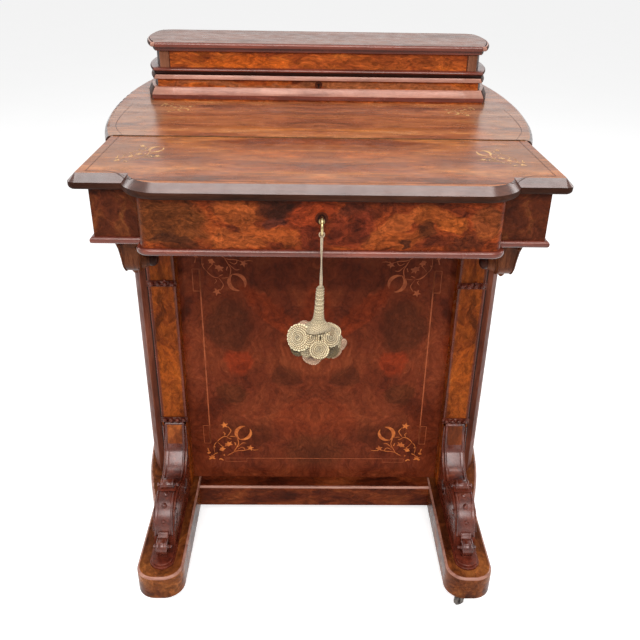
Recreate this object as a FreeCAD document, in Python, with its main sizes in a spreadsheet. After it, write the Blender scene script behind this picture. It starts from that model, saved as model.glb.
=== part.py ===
"""A Victorian walnut davenport desk: sledge base on castors, drawer pedestal, writing box and stationery box.

Millimetres. The origin is on the floor under the middle of the desk, +Z is up, +X is the writer's right and +Y points
away from the writer. Depths count from a line between the writing lid's bowed front and its wings, and are moved to
the middle of the desk when placed.
"""
import FreeCAD, Part
import math
import os
import types
import Sketcher

Vector = FreeCAD.Vector
OUT = "out"
IN = "in"
SIDES = ((-1, "left"), (1, "right"))

DRAWERS = 4

SIZES = {
    # Castors
    "castor_height": 28, "wheel_radius": 10, "wheel_width": 8, "wheel_edge": 2, "axle_radius": 2,
    "castor_trail": 12, "plate_radius": 15, "plate_thickness": 2, "cheek_thickness": 2, "cheek_gap": 0.6,
    "stem_radius": 4, "stem_length": 24, "running_gap": 0.08, "front_castor_y": 62, "rear_castor_y": 615,
    "horn_radius": 7, "horn_gap": 0.4,
    # Sledge feet and platform
    "base_thickness": 43, "foot_inner": 211, "foot_outer": 285.4, "foot_front": 40, "foot_round": 31,
    "foot_bow_y": 215, "foot_shoulder_half": 312, "foot_shoulder_y": 319, "foot_shoulder_radius": 700,
    "foot_rear_half": 317, "base_rear": 668, "foot_flank_radius": 1384, "base_edge": 5, "platform_front": 257,
    # Pedestal
    "panel_front": 286, "panel_thickness": 18, "panel_half": 272, "side_front_half": 290, "stile_inner": 254,
    "opening_front": 350, "opening_front_half": 309, "opening_rear": 615, "opening_rear_half": 313.5,
    "stile_radius": 120, "side_radius": 900, "back_half": 308, "pedestal_back": 655, "rear_stile_radius": 200,
    "back_thickness": 18, "dust_thickness": 12, "blade_setback": 1,
    # Drawers
    "front_inner": 296, "front_gap": 0.8, "drawer_side_gap": 1.5, "drawer_back": 262, "drawer_height": 108,
    "drawer_wall": 10, "knob_y": 498, "knob_length": 18, "knob_radius": 11, "knob_foot": 7, "knob_neck": 4.5,
    "knob_foot_height": 2, "knob_neck_height": 6, "knob_belly_height": 11.5, "knob_dome_height": 16.5,
    "knob_dome": 8, "knob_tip": 4, "knob_tenon": 4, "knob_tenon_length": 12, "seat_gap": 0.3,
    # Pilasters and their beaded bands
    "pilaster_centre": 246, "pilaster_width": 44, "pilaster_thickness": 24, "band_width": 46, "band_height": 9,
    "band_thickness": 3, "band_bead": 3.3, "bead_tip": 1.6, "bead_height": 2.8, "upper_band_z": 474,
    "lower_band_z": 213.5, "bead_pitch": 11,
    # Consoles: the scrolled strap, the wider board behind it, the rolls and the long pad below
    "pad_thickness": 7, "pad_half": 22, "pad_front": 58, "pad_step": 3, "strap_width": 34, "strap_face": 13,
    "knee_top": 165, "knee_radius": 34, "knee_y": 212, "knee_z": 140, "lip_y": 178, "lip_z": 147,
    "upper_roll": 9, "upper_roll_y": 166, "upper_roll_z": 153, "upper_roll_width": 27, "hump_y": 149,
    "hump_z": 151, "hump_radius": 58, "hump_end_y": 104, "hump_end_z": 108, "tongue_y": 99, "lower_roll": 12,
    "lower_roll_y": 86, "tongue_width": 16, "boss_radius": 3.4, "boss_span": 38, "board_width": 43,
    "board_step": 8, "board_front": 116,
    # Corbels
    "corbel_front": 92, "corbel_top_front": 84, "corbel_volute": 21, "corbel_volute_z": 590,
    "corbel_arch_y": 196, "corbel_arch_rise": 24, "corbel_arch_radius": 44, "corbel_foot_z": 590,
    "corbel_foot_radius": 80, "corbel_tip": 22, "corbel_taper_z": 606, "drop_radius": 5, "drop_tip": 2.5,
    "drop_height": 8,
    # Writing box
    "box_underside": 636.4, "bottom_thickness": 8.5, "box_height": 69.6, "bead_side": 5, "bead_round": 3.6,
    "box_half": 270.5, "box_front": 34, "board": 18, "block_half": 210, "block_front": -2.5, "block_round": 12,
    "seam": 204, "box_shoulder_half": 293, "shoulder_y": 300, "shoulder_radius": 700, "box_rear_half": 298,
    "box_rear": 650, "flank_radius": 1260, "rebate": 9,
    # Writing lid and fixed top
    "top_thickness": 18, "lid_half": 291, "lid_corner": 10, "lid_front": -16.5, "wing_front": 19,
    "break_half": 180, "break_radius": 50, "break_end": 228, "lid_chamfer": 9, "lid_edge_round": 5,
    "top_shoulder_half": 314, "top_rear_half": 318, "top_rear": 668, "top_round": 8, "leaf_thickness": 1.2,
    "leaf_depth": 16, "knuckle_radius": 1, "knuckle_gap": 0.2, "hinge_half": 280,
    # Locks and key
    "lock_half": 30, "lock_depth": 11, "lock_height": 34, "lock_face": 1.2, "chamber_radius": 10,
    "chamber_depth": 7, "key_drop": 23, "key_radius": 2.2, "bow_radius": 9.4, "bow_wire": 1.6, "bow_y": -28,
    "key_end": 48, "bit_length": 4.5, "bit_drop": 5.5, "bit_thickness": 2, "slot_gap": 0.4,
    "escutcheon_radius": 7.5, "box_escutcheon": 6, "box_key_drop": 4.5, "escutcheon_thickness": 0.8,
    "collar_radius": 3.4, "collar_y": -13.5, "collar_length": 3, "box_key_rise": 27.5, "box_key_depth": 12,
    # Stationery box
    "st_half": 258, "st_front": 457, "st_rear": 632, "st_rear_half": 270, "st_bow": 319, "plinth_height": 10,
    "plinth_side": 14, "plinth_front": 7, "plinth_lip": 1, "ogee_height": 11, "band_side": 5, "band_front": 4,
    "band_rise": 34, "split_rise": 41.3, "st_bead_side": 8, "st_bead_front": 7, "st_bead_round": 3,
    "lid_bead": 6.7, "frieze_rise": 77.5, "cavetto_height": 6.5, "cavetto_out": 5, "torus_height": 7,
    "torus_round": 3.4, "torus_half": 262, "torus_front": 443, "torus_bow": 300, "torus_rear": 636,
    "torus_corner": 28, "torus_corner_half": 288, "cavity_half": 240, "cavity_front": 475,
    "cavity_rear": 615, "box_hinge_x": 170, "box_hinge_half": 22, "box_leaf": 18, "box_knuckle": 1.5,
    # Key tassel
    "cord_radius": 1.5, "cord_gap": 0.3, "cord_length": 62.7, "stem_top_radius": 5, "stem_foot_radius": 8,
    "stem_length_cotton": 44, "rose_radius": 32, "rose_drop": 28, "rose_rim": 5, "rose_depth": 20,
    "rose_flat": 14, "rose_shoulder": 26, "petal_shift": 21, "petal_radius": 16, "petal_depth": 11,
}

doc = FreeCAD.newDocument("davenport_desk")
nodes = {}


class Size:
    """A length with its value and the spreadsheet expression that gives it."""

    def __init__(self, value, text):
        self.value = float(value)
        self.text = text

    def __float__(self):
        return self.value

    def __neg__(self):
        return Size(-self.value, f"(-1 * {self.text})")

    def __add__(self, other):
        other = as_size(other)
        return Size(self.value + other.value, f"({self.text} + {other.text})")

    def __sub__(self, other):
        other = as_size(other)
        return Size(self.value - other.value, f"({self.text} - {other.text})")

    def __mul__(self, other):
        other = as_size(other)
        return Size(self.value * other.value, f"({self.text} * {other.text})")

    def __truediv__(self, other):
        other = as_size(other)
        return Size(self.value / other.value, f"({self.text} / {other.text})")

    __radd__ = __add__
    __rmul__ = __mul__


def as_size(value):
    """A Size as it is, and a plain number as a Size."""
    return value if isinstance(value, Size) else Size(value, repr(float(value)))


def make_sheet():
    """Put the driving dimensions into a spreadsheet and give them back as Sizes."""
    sheet = doc.addObject("Spreadsheet::Sheet", "sizes")
    named = types.SimpleNamespace()
    for row, (alias, value) in enumerate(SIZES.items(), start=1):
        sheet.set(f"A{row}", str(value))
        sheet.setAlias(f"A{row}", alias)
        setattr(named, alias, Size(value, f"sizes.{alias}"))
    doc.recompute()
    return named


v = make_sheet()
middle = (v.base_rear + v.bow_y - v.bow_radius - v.bow_wire) / 2
base_top = v.castor_height + v.base_thickness
panel_back = v.panel_front + v.panel_thickness
pilaster_face = v.panel_front - v.pilaster_thickness
opening_height = (v.box_underside - base_top - v.dust_thickness * (DRAWERS - 1)) / DRAWERS
box_floor = v.box_underside + v.bottom_thickness
box_top = v.box_underside + v.box_height
key_z = box_top - v.key_drop
top_level = box_top + v.top_thickness
plinth_top = top_level + v.plinth_height
band_top = top_level + v.band_rise
box_split = top_level + v.split_rise
frieze_top = top_level + v.frieze_rise
pad_top = base_top + v.pad_thickness
box_key_z = top_level + v.box_key_rise


# ---------------------------------------------------------------- helpers

def bind(item, **sizes):
    """Tie an object's properties to the spreadsheet."""
    for name, size in sizes.items():
        item.setExpression(name, as_size(size).text)


def place(item, x, y, z):
    """Put an object at a place whose depth counts from the front of the lid's wings."""
    for axis, size in zip("xyz", (as_size(x), as_size(y) - middle, as_size(z))):
        item.setExpression(f"Placement.Base.{axis}", size.text)


def cuboid(label, x, y, z, length, width, height):
    """A plain board from its left, front, lower corner."""
    item = doc.addObject("Part::Box", label)
    item.Label = label
    bind(item, Length=length, Width=width, Height=height)
    place(item, x, y, z)
    return item


TURNS = {
    "X": FreeCAD.Rotation(Vector(0, 1, 0), 90),
    "-X": FreeCAD.Rotation(Vector(0, 1, 0), -90),
    "Y": FreeCAD.Rotation(Vector(1, 0, 0), -90),
    "-Y": FreeCAD.Rotation(Vector(1, 0, 0), 90),
    "Z": FreeCAD.Rotation(),
}


def rod(label, axis, x, y, z, radius, length):
    """A cylinder along an axis, from the middle of its first end."""
    item = doc.addObject("Part::Cylinder", label)
    item.Label = label
    item.Placement.Rotation = TURNS[axis]
    bind(item, Radius=radius, Height=length)
    place(item, x, y, z)
    return item


def joined(label, items):
    """Pieces glued or carved as one."""
    item = doc.addObject("Part::MultiFuse", label)
    item.Label = label
    item.Shapes = items
    return item


def cut(label, base, tools):
    """A piece with the tools taken out of it."""
    item = doc.addObject("Part::Cut", label)
    item.Label = label
    item.Base = base
    item.Tool = tools[0] if len(tools) == 1 else joined(label + "_tools", tools)
    return item


def group(label, items):
    """Separate solids that share one name."""
    item = doc.addObject("Part::Compound", label)
    item.Label = label
    item.Links = items
    return item


def node(item):
    """Mark an object as a finished sub-part, under its own label."""
    nodes[item.Label] = item
    return item


def mirrored(half):
    """A whole outline from its right half, which runs from the front centre line round to the back."""
    left = []
    for index in range(len(half) - 1, -1, -1):
        x, y = half[index][:2]
        bend = half[index - 1][2:] if index > 0 else ()
        left.append((-as_size(x), y) + tuple(bend))
    return list(half) + left


def flipped(corners, side):
    """An outline of the right side as it is, or turned over for the left side."""
    if side > 0:
        return list(corners)
    count = len(corners)
    return [
        (-as_size(corners[i][0]), corners[i][1]) + tuple(corners[(i - 1) % count][2:])
        for i in range(count - 1, -1, -1)
    ]


def add_edge(sketch, start, end, bend):
    """Draw one side of an outline, and say which ends of the drawn edge are its start and its end."""
    first = Vector(float(start[0]), float(start[1]), 0)
    last = Vector(float(end[0]), float(end[1]), 0)
    if not bend:
        sketch.addGeometry(Part.LineSegment(first, last), False)
        return 1, 2
    way, radius = bend
    chord = last - first
    left = Vector(-chord.y, chord.x, 0) / chord.Length
    height = math.sqrt(max(float(radius) ** 2 - (chord.Length / 2) ** 2, 0))
    centre = (first + last) * 0.5 + left * (height if way == OUT else -height)
    ends = (first, last) if way == OUT else (last, first)
    begin, finish = (math.atan2(p.y - centre.y, p.x - centre.x) for p in ends)
    if finish < begin:
        finish += 2 * math.pi
    circle = Part.Circle(centre, Vector(0, 0, 1), float(radius))
    sketch.addGeometry(Part.ArcOfCircle(circle, begin, finish), False)
    return (1, 2) if way == OUT else (2, 1)


def draw(body, plane, corners, offset=0):
    """A closed sketch on one of the body's own planes.

    The corners run anticlockwise, each (x, y), or (x, y, OUT or IN, radius) where an arc leads to the next corner.
    """
    sketch = body.newObject("Sketcher::SketchObject", body.Label + "_sketch")
    origin_plane = [f for f in body.Origin.OriginFeatures if f.Role == plane][0]
    sketch.AttachmentSupport = [(origin_plane, "")]
    sketch.MapMode = "FlatFace"
    sketch.setExpression("AttachmentOffset.Base.z", as_size(offset).text)
    count = len(corners)
    ends = [
        add_edge(sketch, corners[i], corners[(i + 1) % count], corners[i][2:])
        for i in range(count)
    ]
    for i, corner in enumerate(corners):
        start = ends[i][0]
        before = (i - 1) % count
        sketch.addConstraint(Sketcher.Constraint("Coincident", before, ends[before][1], i, start))
        for kind, size in (("DistanceX", as_size(corner[0])), ("DistanceY", as_size(corner[1]))):
            index = sketch.addConstraint(Sketcher.Constraint(kind, -1, 1, i, start, size.value))
            sketch.setExpression(f"Constraints[{index}]", size.text)
        if corner[2:]:
            radius = as_size(corner[3])
            index = sketch.addConstraint(Sketcher.Constraint("Radius", i, radius.value))
            sketch.setExpression(f"Constraints[{index}]", radius.text)
    return sketch


def new_body(label, x=0, z=0):
    """An empty PartDesign body at a place on the desk."""
    body = doc.addObject("PartDesign::Body", label)
    body.Label = label
    place(body, x, 0, z)
    return body


def pad(body, sketch, length, both_ways=False):
    """Extrude a sketch of the body."""
    feature = body.newObject("PartDesign::Pad", body.Label + "_pad")
    feature.Profile = sketch
    feature.Midplane = both_ways
    bind(feature, Length=length)
    doc.recompute()
    return feature


def dress(body, kind, size, choose):
    """Fillet or chamfer the edges of the body's last feature that choose() picks."""
    base = body.Tip
    names = [f"Edge{i}" for i, edge in enumerate(base.Shape.Edges, start=1) if choose(edge)]
    feature = body.newObject("PartDesign::" + kind, f"{body.Label}_{kind.lower()}")
    feature.Base = (base, names)
    bind(feature, **{"Radius" if kind == "Fillet" else "Size": size})
    doc.recompute()
    return feature


def at_height(z, skip_y=None):
    """A chooser of the edges that lie at a height, leaving out those that lie wholly at one depth."""
    def choose(edge):
        ends = [edge.valueAt(p) for p in (edge.FirstParameter, edge.LastParameter)]
        level = all(abs(p.z - float(z)) < 1e-4 for p in ends)
        skipped = skip_y is not None and all(abs(p.y - float(skip_y)) < 1e-4 for p in ends)
        return level and not skipped
    return choose


def board(label, corners, bottom, thickness):
    """A flat piece with the outline that the corners give in plan."""
    body = new_body(label)
    pad(body, draw(body, "XY_Plane", corners, bottom), thickness)
    return body


def carved(label, corners, x, width):
    """A piece with the outline that the corners give from the side, about its own middle plane."""
    body = new_body(label, x)
    pad(body, draw(body, "YZ_Plane", corners), width, both_ways=True)
    return body


# ---------------------------------------------------------------- base

def make_base():
    """The two sledge feet, with their bowed outer edges, and the platform board between them."""
    height = v.castor_height
    outline = [
        (v.foot_inner, v.foot_front + v.foot_round, OUT, v.foot_round),
        (v.foot_inner + v.foot_round, v.foot_front),
        (v.foot_outer - v.foot_round, v.foot_front, OUT, v.foot_round),
        (v.foot_outer, v.foot_front + v.foot_round),
        (v.foot_outer, v.foot_bow_y, OUT, v.foot_shoulder_radius),
        (v.foot_shoulder_half, v.foot_shoulder_y, OUT, v.foot_flank_radius),
        (v.foot_rear_half, v.base_rear),
        (v.foot_inner, v.base_rear),
    ]
    for side, name in SIDES:
        foot = board(f"foot_{name}_blank", flipped(outline, side), height, v.base_thickness)
        dress(foot, "Fillet", v.base_edge, at_height(base_top, v.base_rear))
        bores = [
            rod(f"foot_{name}_bore_{i}", "Z", v.pilaster_centre * side, y, height,
                v.stem_radius + v.running_gap, v.stem_length)
            for i, y in enumerate((v.front_castor_y, v.rear_castor_y))
        ]
        node(cut(f"foot_{name}", foot, bores))
    platform = board(
        "platform_board",
        mirrored([(v.foot_inner, v.platform_front), (v.foot_inner, v.base_rear)]),
        height, v.base_thickness,
    )
    dress(platform, "Fillet", v.base_edge, front_edge(v.platform_front, base_top))
    node(platform)


def front_edge(y, z):
    """A chooser of the edge that lies at one depth and one height."""
    def choose(edge):
        ends = [edge.valueAt(p) for p in (edge.FirstParameter, edge.LastParameter)]
        return all(abs(p.y - float(y)) < 1e-4 and abs(p.z - float(z)) < 1e-4 for p in ends)
    return choose


CASTORS = (
    ("front_left", -1, "front_castor_y", 115),
    ("front_right", 1, "front_castor_y", -145),
    ("rear_left", -1, "rear_castor_y", 100),
    ("rear_right", 1, "rear_castor_y", 75),
)


def make_castors():
    """Four swivelling castors; each trails its wheel at its own resting angle."""
    plates = []
    for name, side, depth, trail_angle in CASTORS:
        x = v.pilaster_centre * side
        y = getattr(v, depth)
        plate_z = v.castor_height - v.plate_thickness
        plate = rod(f"plate_{name}", "Z", x, y, plate_z, v.plate_radius, v.plate_thickness)
        bore = rod(f"plate_{name}_bore", "Z", x, y, plate_z, v.stem_radius + v.running_gap, v.plate_thickness)
        plates.append(cut(f"castor_plate_{name}", plate, [bore]))
        make_horn_and_wheel(name, x, y, trail_angle)
    node(group("castor_plates", plates))


def make_horn_and_wheel(name, x, y, trail_angle):
    """The swivelling horn with its stem, cheeks and axle, and the wheel that runs on the axle."""
    along = math.cos(math.radians(trail_angle))
    across = math.sin(math.radians(trail_angle))
    cheek_inner = v.wheel_width / 2 + v.cheek_gap
    span = cheek_inner + v.cheek_thickness
    wheel_z = v.wheel_radius
    crown_z = v.wheel_radius * 2 + v.cheek_gap
    crown_height = v.castor_height - v.plate_thickness - v.horn_gap - crown_z
    local = [
        local_rod("stem", "Z", (0, 0, crown_z), v.stem_radius,
                  v.castor_height - crown_z + v.stem_length - v.horn_gap),
        local_box("crown", (-v.horn_radius, -span, crown_z),
                  (v.horn_radius + v.castor_trail, span * 2, crown_height)),
        local_rod("axle", "Y", (v.castor_trail, -span, wheel_z), v.axle_radius, span * 2),
    ]
    for cheek_y in (-span, cheek_inner):
        local.append(local_box("cheek", (v.castor_trail - v.axle_radius * 2, cheek_y, wheel_z - v.axle_radius * 2),
                               (v.axle_radius * 4, v.cheek_thickness, crown_z - wheel_z + v.axle_radius * 2)))
    horn = joined(f"castor_horn_{name}", local)
    wheel = new_body(f"castor_wheel_{name}_blank")
    hub = v.axle_radius + v.running_gap
    side = v.wheel_width / 2
    tread = side - v.wheel_edge
    inset = v.wheel_radius - v.wheel_edge
    rim = [(hub, -side), (inset, -side), (v.wheel_radius, -tread), (v.wheel_radius, tread), (inset, side),
           (hub, side)]
    sketch = draw(wheel, "XY_Plane", rim)
    turn = wheel.newObject("PartDesign::Revolution", wheel.Label + "_turn")
    turn.Profile = sketch
    turn.ReferenceAxis = (sketch, ["V_Axis"])
    turn.Angle = 360
    swivel = FreeCAD.Rotation(Vector(0, 0, 1), trail_angle)
    for item in (horn, wheel):
        item.Placement.Rotation = swivel
    place(horn, x, y, 0)
    place(wheel, x + v.castor_trail * along, y + v.castor_trail * across, wheel_z)
    wheel.Label = f"castor_wheel_{name}"
    node(horn)
    node(wheel)


def local_rod(label, axis, start, radius, length):
    """A cylinder placed in the frame of the piece that it is joined into."""
    item = doc.addObject("Part::Cylinder", label)
    item.Placement.Rotation = TURNS[axis]
    bind(item, Radius=radius, Height=length)
    bind_base(item, start)
    return item


def local_box(label, start, size):
    """A box placed in the frame of the piece that it is joined into."""
    item = doc.addObject("Part::Box", label)
    bind(item, Length=size[0], Width=size[1], Height=size[2])
    bind_base(item, start)
    return item


def bind_base(item, start):
    """Tie an object's own place to the spreadsheet."""
    for axis, size in zip("xyz", start):
        item.setExpression(f"Placement.Base.{axis}", as_size(size).text)


# ---------------------------------------------------------------- pedestal

def bowed_front(inner, gap, setback=0):
    """The plan of a drawer front: flat behind, bowed in front, on the right side."""
    return [
        (inner, v.opening_front + gap),
        (v.opening_front_half - setback, v.opening_front + gap, OUT, v.side_radius),
        (v.opening_rear_half - setback, v.opening_rear - gap),
        (inner, v.opening_rear - gap),
    ]


def drawer_level(index):
    """The height of the surface that a drawer runs on, counted from the lowest."""
    return base_top + (opening_height + v.dust_thickness) * index


def make_pedestal():
    """The carcase: inlaid front panel, back panel, corner stiles, dust boards and the dummy drawer side."""
    height = v.box_underside - base_top
    node(cuboid("front_panel", -v.panel_half, v.panel_front, base_top,
                v.panel_half * 2, v.panel_thickness, height))
    node(cuboid("back_panel", -v.stile_inner, v.pedestal_back - v.back_thickness, base_top,
                v.stile_inner * 2, v.back_thickness, height))
    front = [
        (v.stile_inner, panel_back),
        (v.side_front_half, panel_back, OUT, v.stile_radius),
        (v.opening_front_half, v.opening_front),
        (v.stile_inner, v.opening_front),
    ]
    rear = [
        (v.stile_inner, v.opening_rear),
        (v.opening_rear_half, v.opening_rear, OUT, v.rear_stile_radius),
        (v.back_half, v.pedestal_back),
        (v.stile_inner, v.pedestal_back),
    ]
    stiles = [
        board(f"stile_{place_name}_{name}", flipped(outline, side), base_top, height)
        for place_name, outline in (("front", front), ("rear", rear))
        for side, name in SIDES
    ]
    node(group("corner_stiles", stiles))
    half = [
        (v.stile_inner, panel_back),
        (v.stile_inner, v.opening_front),
        *bowed_front(v.stile_inner, 0, v.blade_setback)[1:3],
        (v.stile_inner, v.opening_rear),
        (v.stile_inner, v.pedestal_back - v.back_thickness),
    ]
    dust = [
        board(f"dust_board_{i}", mirrored(half), drawer_level(i) - v.dust_thickness, v.dust_thickness)
        for i in range(1, DRAWERS)
    ]
    node(group("dust_boards", dust))
    blanks = []
    knobs = []
    for i in range(DRAWERS):
        level = drawer_level(i)
        blank = board(f"dummy_blank_{i + 1}", flipped(bowed_front(v.front_inner, 0), -1), level, opening_height)
        blanks.append(cut(f"dummy_front_{i + 1}", blank, [knob_bore(f"dummy_bore_{i + 1}", -1, level, 0)]))
        knobs.append(make_knob(f"dummy_knob_{i + 1}", -1, level, 0))
    node(group("dummy_drawer_fronts", blanks))
    node(group("dummy_drawer_knobs", knobs))


def bow_at_knob(gap):
    """How far a bowed front stands from the centre line at its knob, with this gap at the front's ends."""
    front = (float(v.opening_front_half), float(v.opening_front + gap))
    rear = (float(v.opening_rear_half), float(v.opening_rear - gap))
    radius = float(v.side_radius)
    chord = math.dist(front, rear)
    inward = math.sqrt(radius ** 2 - (chord / 2) ** 2)
    centre_x = (front[0] + rear[0]) / 2 - inward * (rear[1] - front[1]) / chord
    centre_y = (front[1] + rear[1]) / 2 + inward * (rear[0] - front[0]) / chord
    return as_size(centre_x + math.sqrt(radius ** 2 - (float(v.knob_y) - centre_y) ** 2))


def knob_bore(label, side, level, gap):
    """The hole in a drawer front for its knob's tenon."""
    start = (bow_at_knob(gap) - v.knob_tenon_length - v.seat_gap) * side
    way = "X" if side > 0 else "-X"
    return rod(label, way, start, v.knob_y, level + opening_height / 2, v.knob_tenon + v.seat_gap,
               v.knob_tenon_length * 2)


def make_knob(label, side, level, gap):
    """A turned knob, standing on the bowed front with its tenon in the hole."""
    body = new_body(label)
    tenon = v.knob_tenon_length
    profile = [
        (0, -tenon),
        (v.knob_tenon, -tenon),
        (v.knob_tenon, 0),
        (v.knob_foot, 0),
        (v.knob_foot, v.knob_foot_height),
        (v.knob_neck, v.knob_neck_height),
        (v.knob_radius, v.knob_belly_height),
        (v.knob_dome, v.knob_dome_height),
        (v.knob_tip, v.knob_length),
        (0, v.knob_length),
    ]
    sketch = draw(body, "XZ_Plane", profile)
    turn = body.newObject("PartDesign::Revolution", label + "_turn")
    turn.Profile = sketch
    turn.ReferenceAxis = (sketch, ["V_Axis"])
    turn.Angle = 360
    body.Placement.Rotation = TURNS["X" if side > 0 else "-X"]
    place(body, bow_at_knob(gap) * side, v.knob_y, level + opening_height / 2)
    return body


def make_drawers():
    """Four drawers that open to the writer's right: a bowed front, a knob and a box of thin boards."""
    for i in range(DRAWERS):
        level = drawer_level(i)
        name = f"drawer_{i + 1}"
        blank = board(f"{name}_blank", bowed_front(v.front_inner, v.front_gap),
                      level + v.front_gap, opening_height - v.front_gap * 2)
        node(cut(f"{name}_front", blank, [knob_bore(f"{name}_bore", 1, level, v.front_gap)]))
        node(make_knob(f"{name}_knob", 1, level, v.front_gap))
        width = v.opening_rear - v.opening_front - v.drawer_side_gap * 2
        front_y = v.opening_front + v.drawer_side_gap
        outer = cuboid(f"{name}_outer", -v.drawer_back, front_y, level,
                       v.drawer_back + v.front_inner, width, v.drawer_height)
        inner = cuboid(f"{name}_inner", v.drawer_wall - v.drawer_back, front_y + v.drawer_wall,
                       level + v.drawer_wall, v.drawer_back + v.front_inner,
                       width - v.drawer_wall * 2, v.drawer_height)
        node(cut(f"{name}_box", outer, [inner]))


# ---------------------------------------------------------------- supports

def button(label, x, y, z):
    """A small turned bead that stands forward from an upright face."""
    item = doc.addObject("Part::Cone", label)
    bind(item, Radius1=v.band_bead, Radius2=v.bead_tip, Height=v.bead_height)
    item.Placement.Rotation = TURNS["-Y"]
    place(item, x, y, z)
    return item


def make_pilasters():
    """The pilasters on the front panel and the beaded bands across them."""
    bands = []
    for side, name in SIDES:
        centre = v.pilaster_centre * side
        node(cuboid(f"pilaster_{name}", centre - v.pilaster_width / 2, pilaster_face, base_top,
                    v.pilaster_width, v.pilaster_thickness, v.box_underside - base_top))
        for level_name, level in (("upper", v.upper_band_z), ("lower", v.lower_band_z)):
            label = f"band_{level_name}_{name}"
            strip = cuboid(label + "_strip", centre - v.band_width / 2, pilaster_face - v.band_thickness,
                           level, v.band_width, v.band_thickness, v.band_height)
            beads = [
                button(f"{label}_bead_{k}", centre + v.bead_pitch * (k - 1.5), pilaster_face - v.band_thickness,
                       level + v.band_height / 2)
                for k in range(4)
            ]
            bands.append(joined(label, [strip] + beads))
    node(group("bead_bands", bands))


def make_consoles():
    """The scrolled consoles on the feet: a strap that sweeps forward to a roll and down to another, a wider
    board behind it, turned bosses at the rolls' ends, and the long pads beneath."""
    face = pilaster_face - v.strap_face
    lower_z = pad_top + v.lower_roll
    strap = [
        (v.hump_end_y, pad_top),
        (pilaster_face, pad_top),
        (pilaster_face, v.lower_band_z),
        (face, v.lower_band_z),
        (face, v.knee_top, IN, v.knee_radius),
        (v.knee_y, v.knee_z),
        (v.lip_y, v.lip_z),
        (v.hump_y, v.hump_z, OUT, v.hump_radius),
        (v.hump_end_y, v.hump_end_z),
    ]
    back = [
        (v.board_front, pad_top),
        (pilaster_face, pad_top),
        (pilaster_face, v.lower_band_z),
        (face + v.board_step, v.lower_band_z),
        (face + v.board_step, v.knee_top, IN, v.knee_radius),
        (v.knee_y, v.knee_z - v.board_step),
        (v.hump_y, v.hump_z - v.board_step, OUT, v.hump_radius),
        (v.board_front, v.hump_end_z),
    ]
    tongue = [
        (v.lower_roll_y, pad_top),
        (v.hump_end_y, pad_top),
        (v.hump_end_y, v.hump_end_z),
        (v.tongue_y, v.hump_end_z - v.boss_radius),
        (v.lower_roll_y, lower_z),
    ]
    rolls = (
        ("upper", v.upper_roll_y, v.upper_roll_z, v.upper_roll, v.upper_roll_width),
        ("lower", v.lower_roll_y, lower_z, v.lower_roll, v.tongue_width),
    )
    pads = []
    for side, name in SIDES:
        centre = v.pilaster_centre * side
        parts = [
            carved(f"console_{name}_strap", strap, centre, v.strap_width),
            carved(f"console_{name}_back", back, centre, v.board_width),
            carved(f"console_{name}_tongue", tongue, centre, v.tongue_width),
        ]
        for roll, y, z, radius, width in rolls:
            for kind, run, size in (("roll", width, radius), ("boss", v.boss_span, v.boss_radius)):
                parts.append(rod(f"console_{name}_{roll}_{kind}", "X", centre - run / 2, y, z, size, run))
        node(joined(f"console_{name}", parts))
        steps = [
            board(f"pad_{name}_{i}", pad_outline(centre, v.pad_step * i), base_top + v.pad_thickness / 2 * i,
                  v.pad_thickness / 2)
            for i in (0, 1)
        ]
        pads.append(joined(f"console_pad_{name}", steps))
    node(group("console_pads", pads))


def pad_outline(centre, inset):
    """A long D-ended pad under a console."""
    half = v.pad_half - inset
    front = v.pad_front + inset
    return [
        (centre - half, front + half, OUT, half),
        (centre, front, OUT, half),
        (centre + half, front + half),
        (centre + half, pilaster_face),
        (centre - half, pilaster_face),
    ]


def make_corbels():
    """The corbels that carry the wings: an arched arm with a volute at its front, tapering to a turned drop."""
    volute_y = v.corbel_front + v.corbel_volute
    volute_foot = v.corbel_volute_z - v.corbel_volute
    profile = [
        (volute_y, v.corbel_volute_z),
        (volute_y + v.corbel_volute, v.corbel_volute_z, IN, v.corbel_arch_radius),
        (v.corbel_arch_y, v.corbel_volute_z + v.corbel_arch_rise, OUT, v.corbel_foot_radius),
        (pilaster_face, v.corbel_foot_z),
        (pilaster_face, v.box_underside),
        (v.corbel_top_front, v.box_underside),
        (v.corbel_front, v.corbel_volute_z),
    ]
    half = v.pilaster_width / 2
    taper = [
        (-v.corbel_tip / 2, volute_foot),
        (v.corbel_tip / 2, volute_foot),
        (half, v.corbel_taper_z),
        (half, v.box_underside),
        (-half, v.box_underside),
        (-half, v.corbel_taper_z),
    ]
    for side, name in SIDES:
        centre = v.pilaster_centre * side
        arm = carved(f"corbel_{name}_arm", profile, centre, v.pilaster_width)
        volute = rod(f"corbel_{name}_volute", "X", centre - half, volute_y, v.corbel_volute_z,
                     v.corbel_volute, v.pilaster_width)
        wedge = new_body(f"corbel_{name}_wedge", centre)
        pad(wedge, draw(wedge, "XZ_Plane", taper, -pilaster_face), pilaster_face - v.corbel_top_front)
        shaped = doc.addObject("Part::Common", f"corbel_{name}_shaped")
        shaped.Base = joined(f"corbel_{name}_blank", [arm, volute])
        shaped.Tool = wedge
        drop = doc.addObject("Part::Cone", f"corbel_{name}_drop")
        bind(drop, Radius1=v.drop_tip, Radius2=v.drop_radius, Height=v.drop_height)
        place(drop, centre, volute_y, volute_foot + v.drop_radius - v.drop_height)
        node(joined(f"corbel_{name}", [shaped, drop]))


# ---------------------------------------------------------------- writing box

def keyhole_tools(label, start_y, depth, z, bit_drop=v.bit_drop):
    """The round bore for a key's shank and the slot below it for the bit, cut from front to back."""
    bore = rod(label + "_bore", "Y", 0, start_y, z, v.key_radius + v.running_gap, depth)
    width = v.bit_thickness + v.slot_gap
    drop = bit_drop + v.slot_gap
    slot = cuboid(label + "_slot", -(width / 2), start_y, z - drop, width, depth, drop)
    return [bore, slot]


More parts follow.
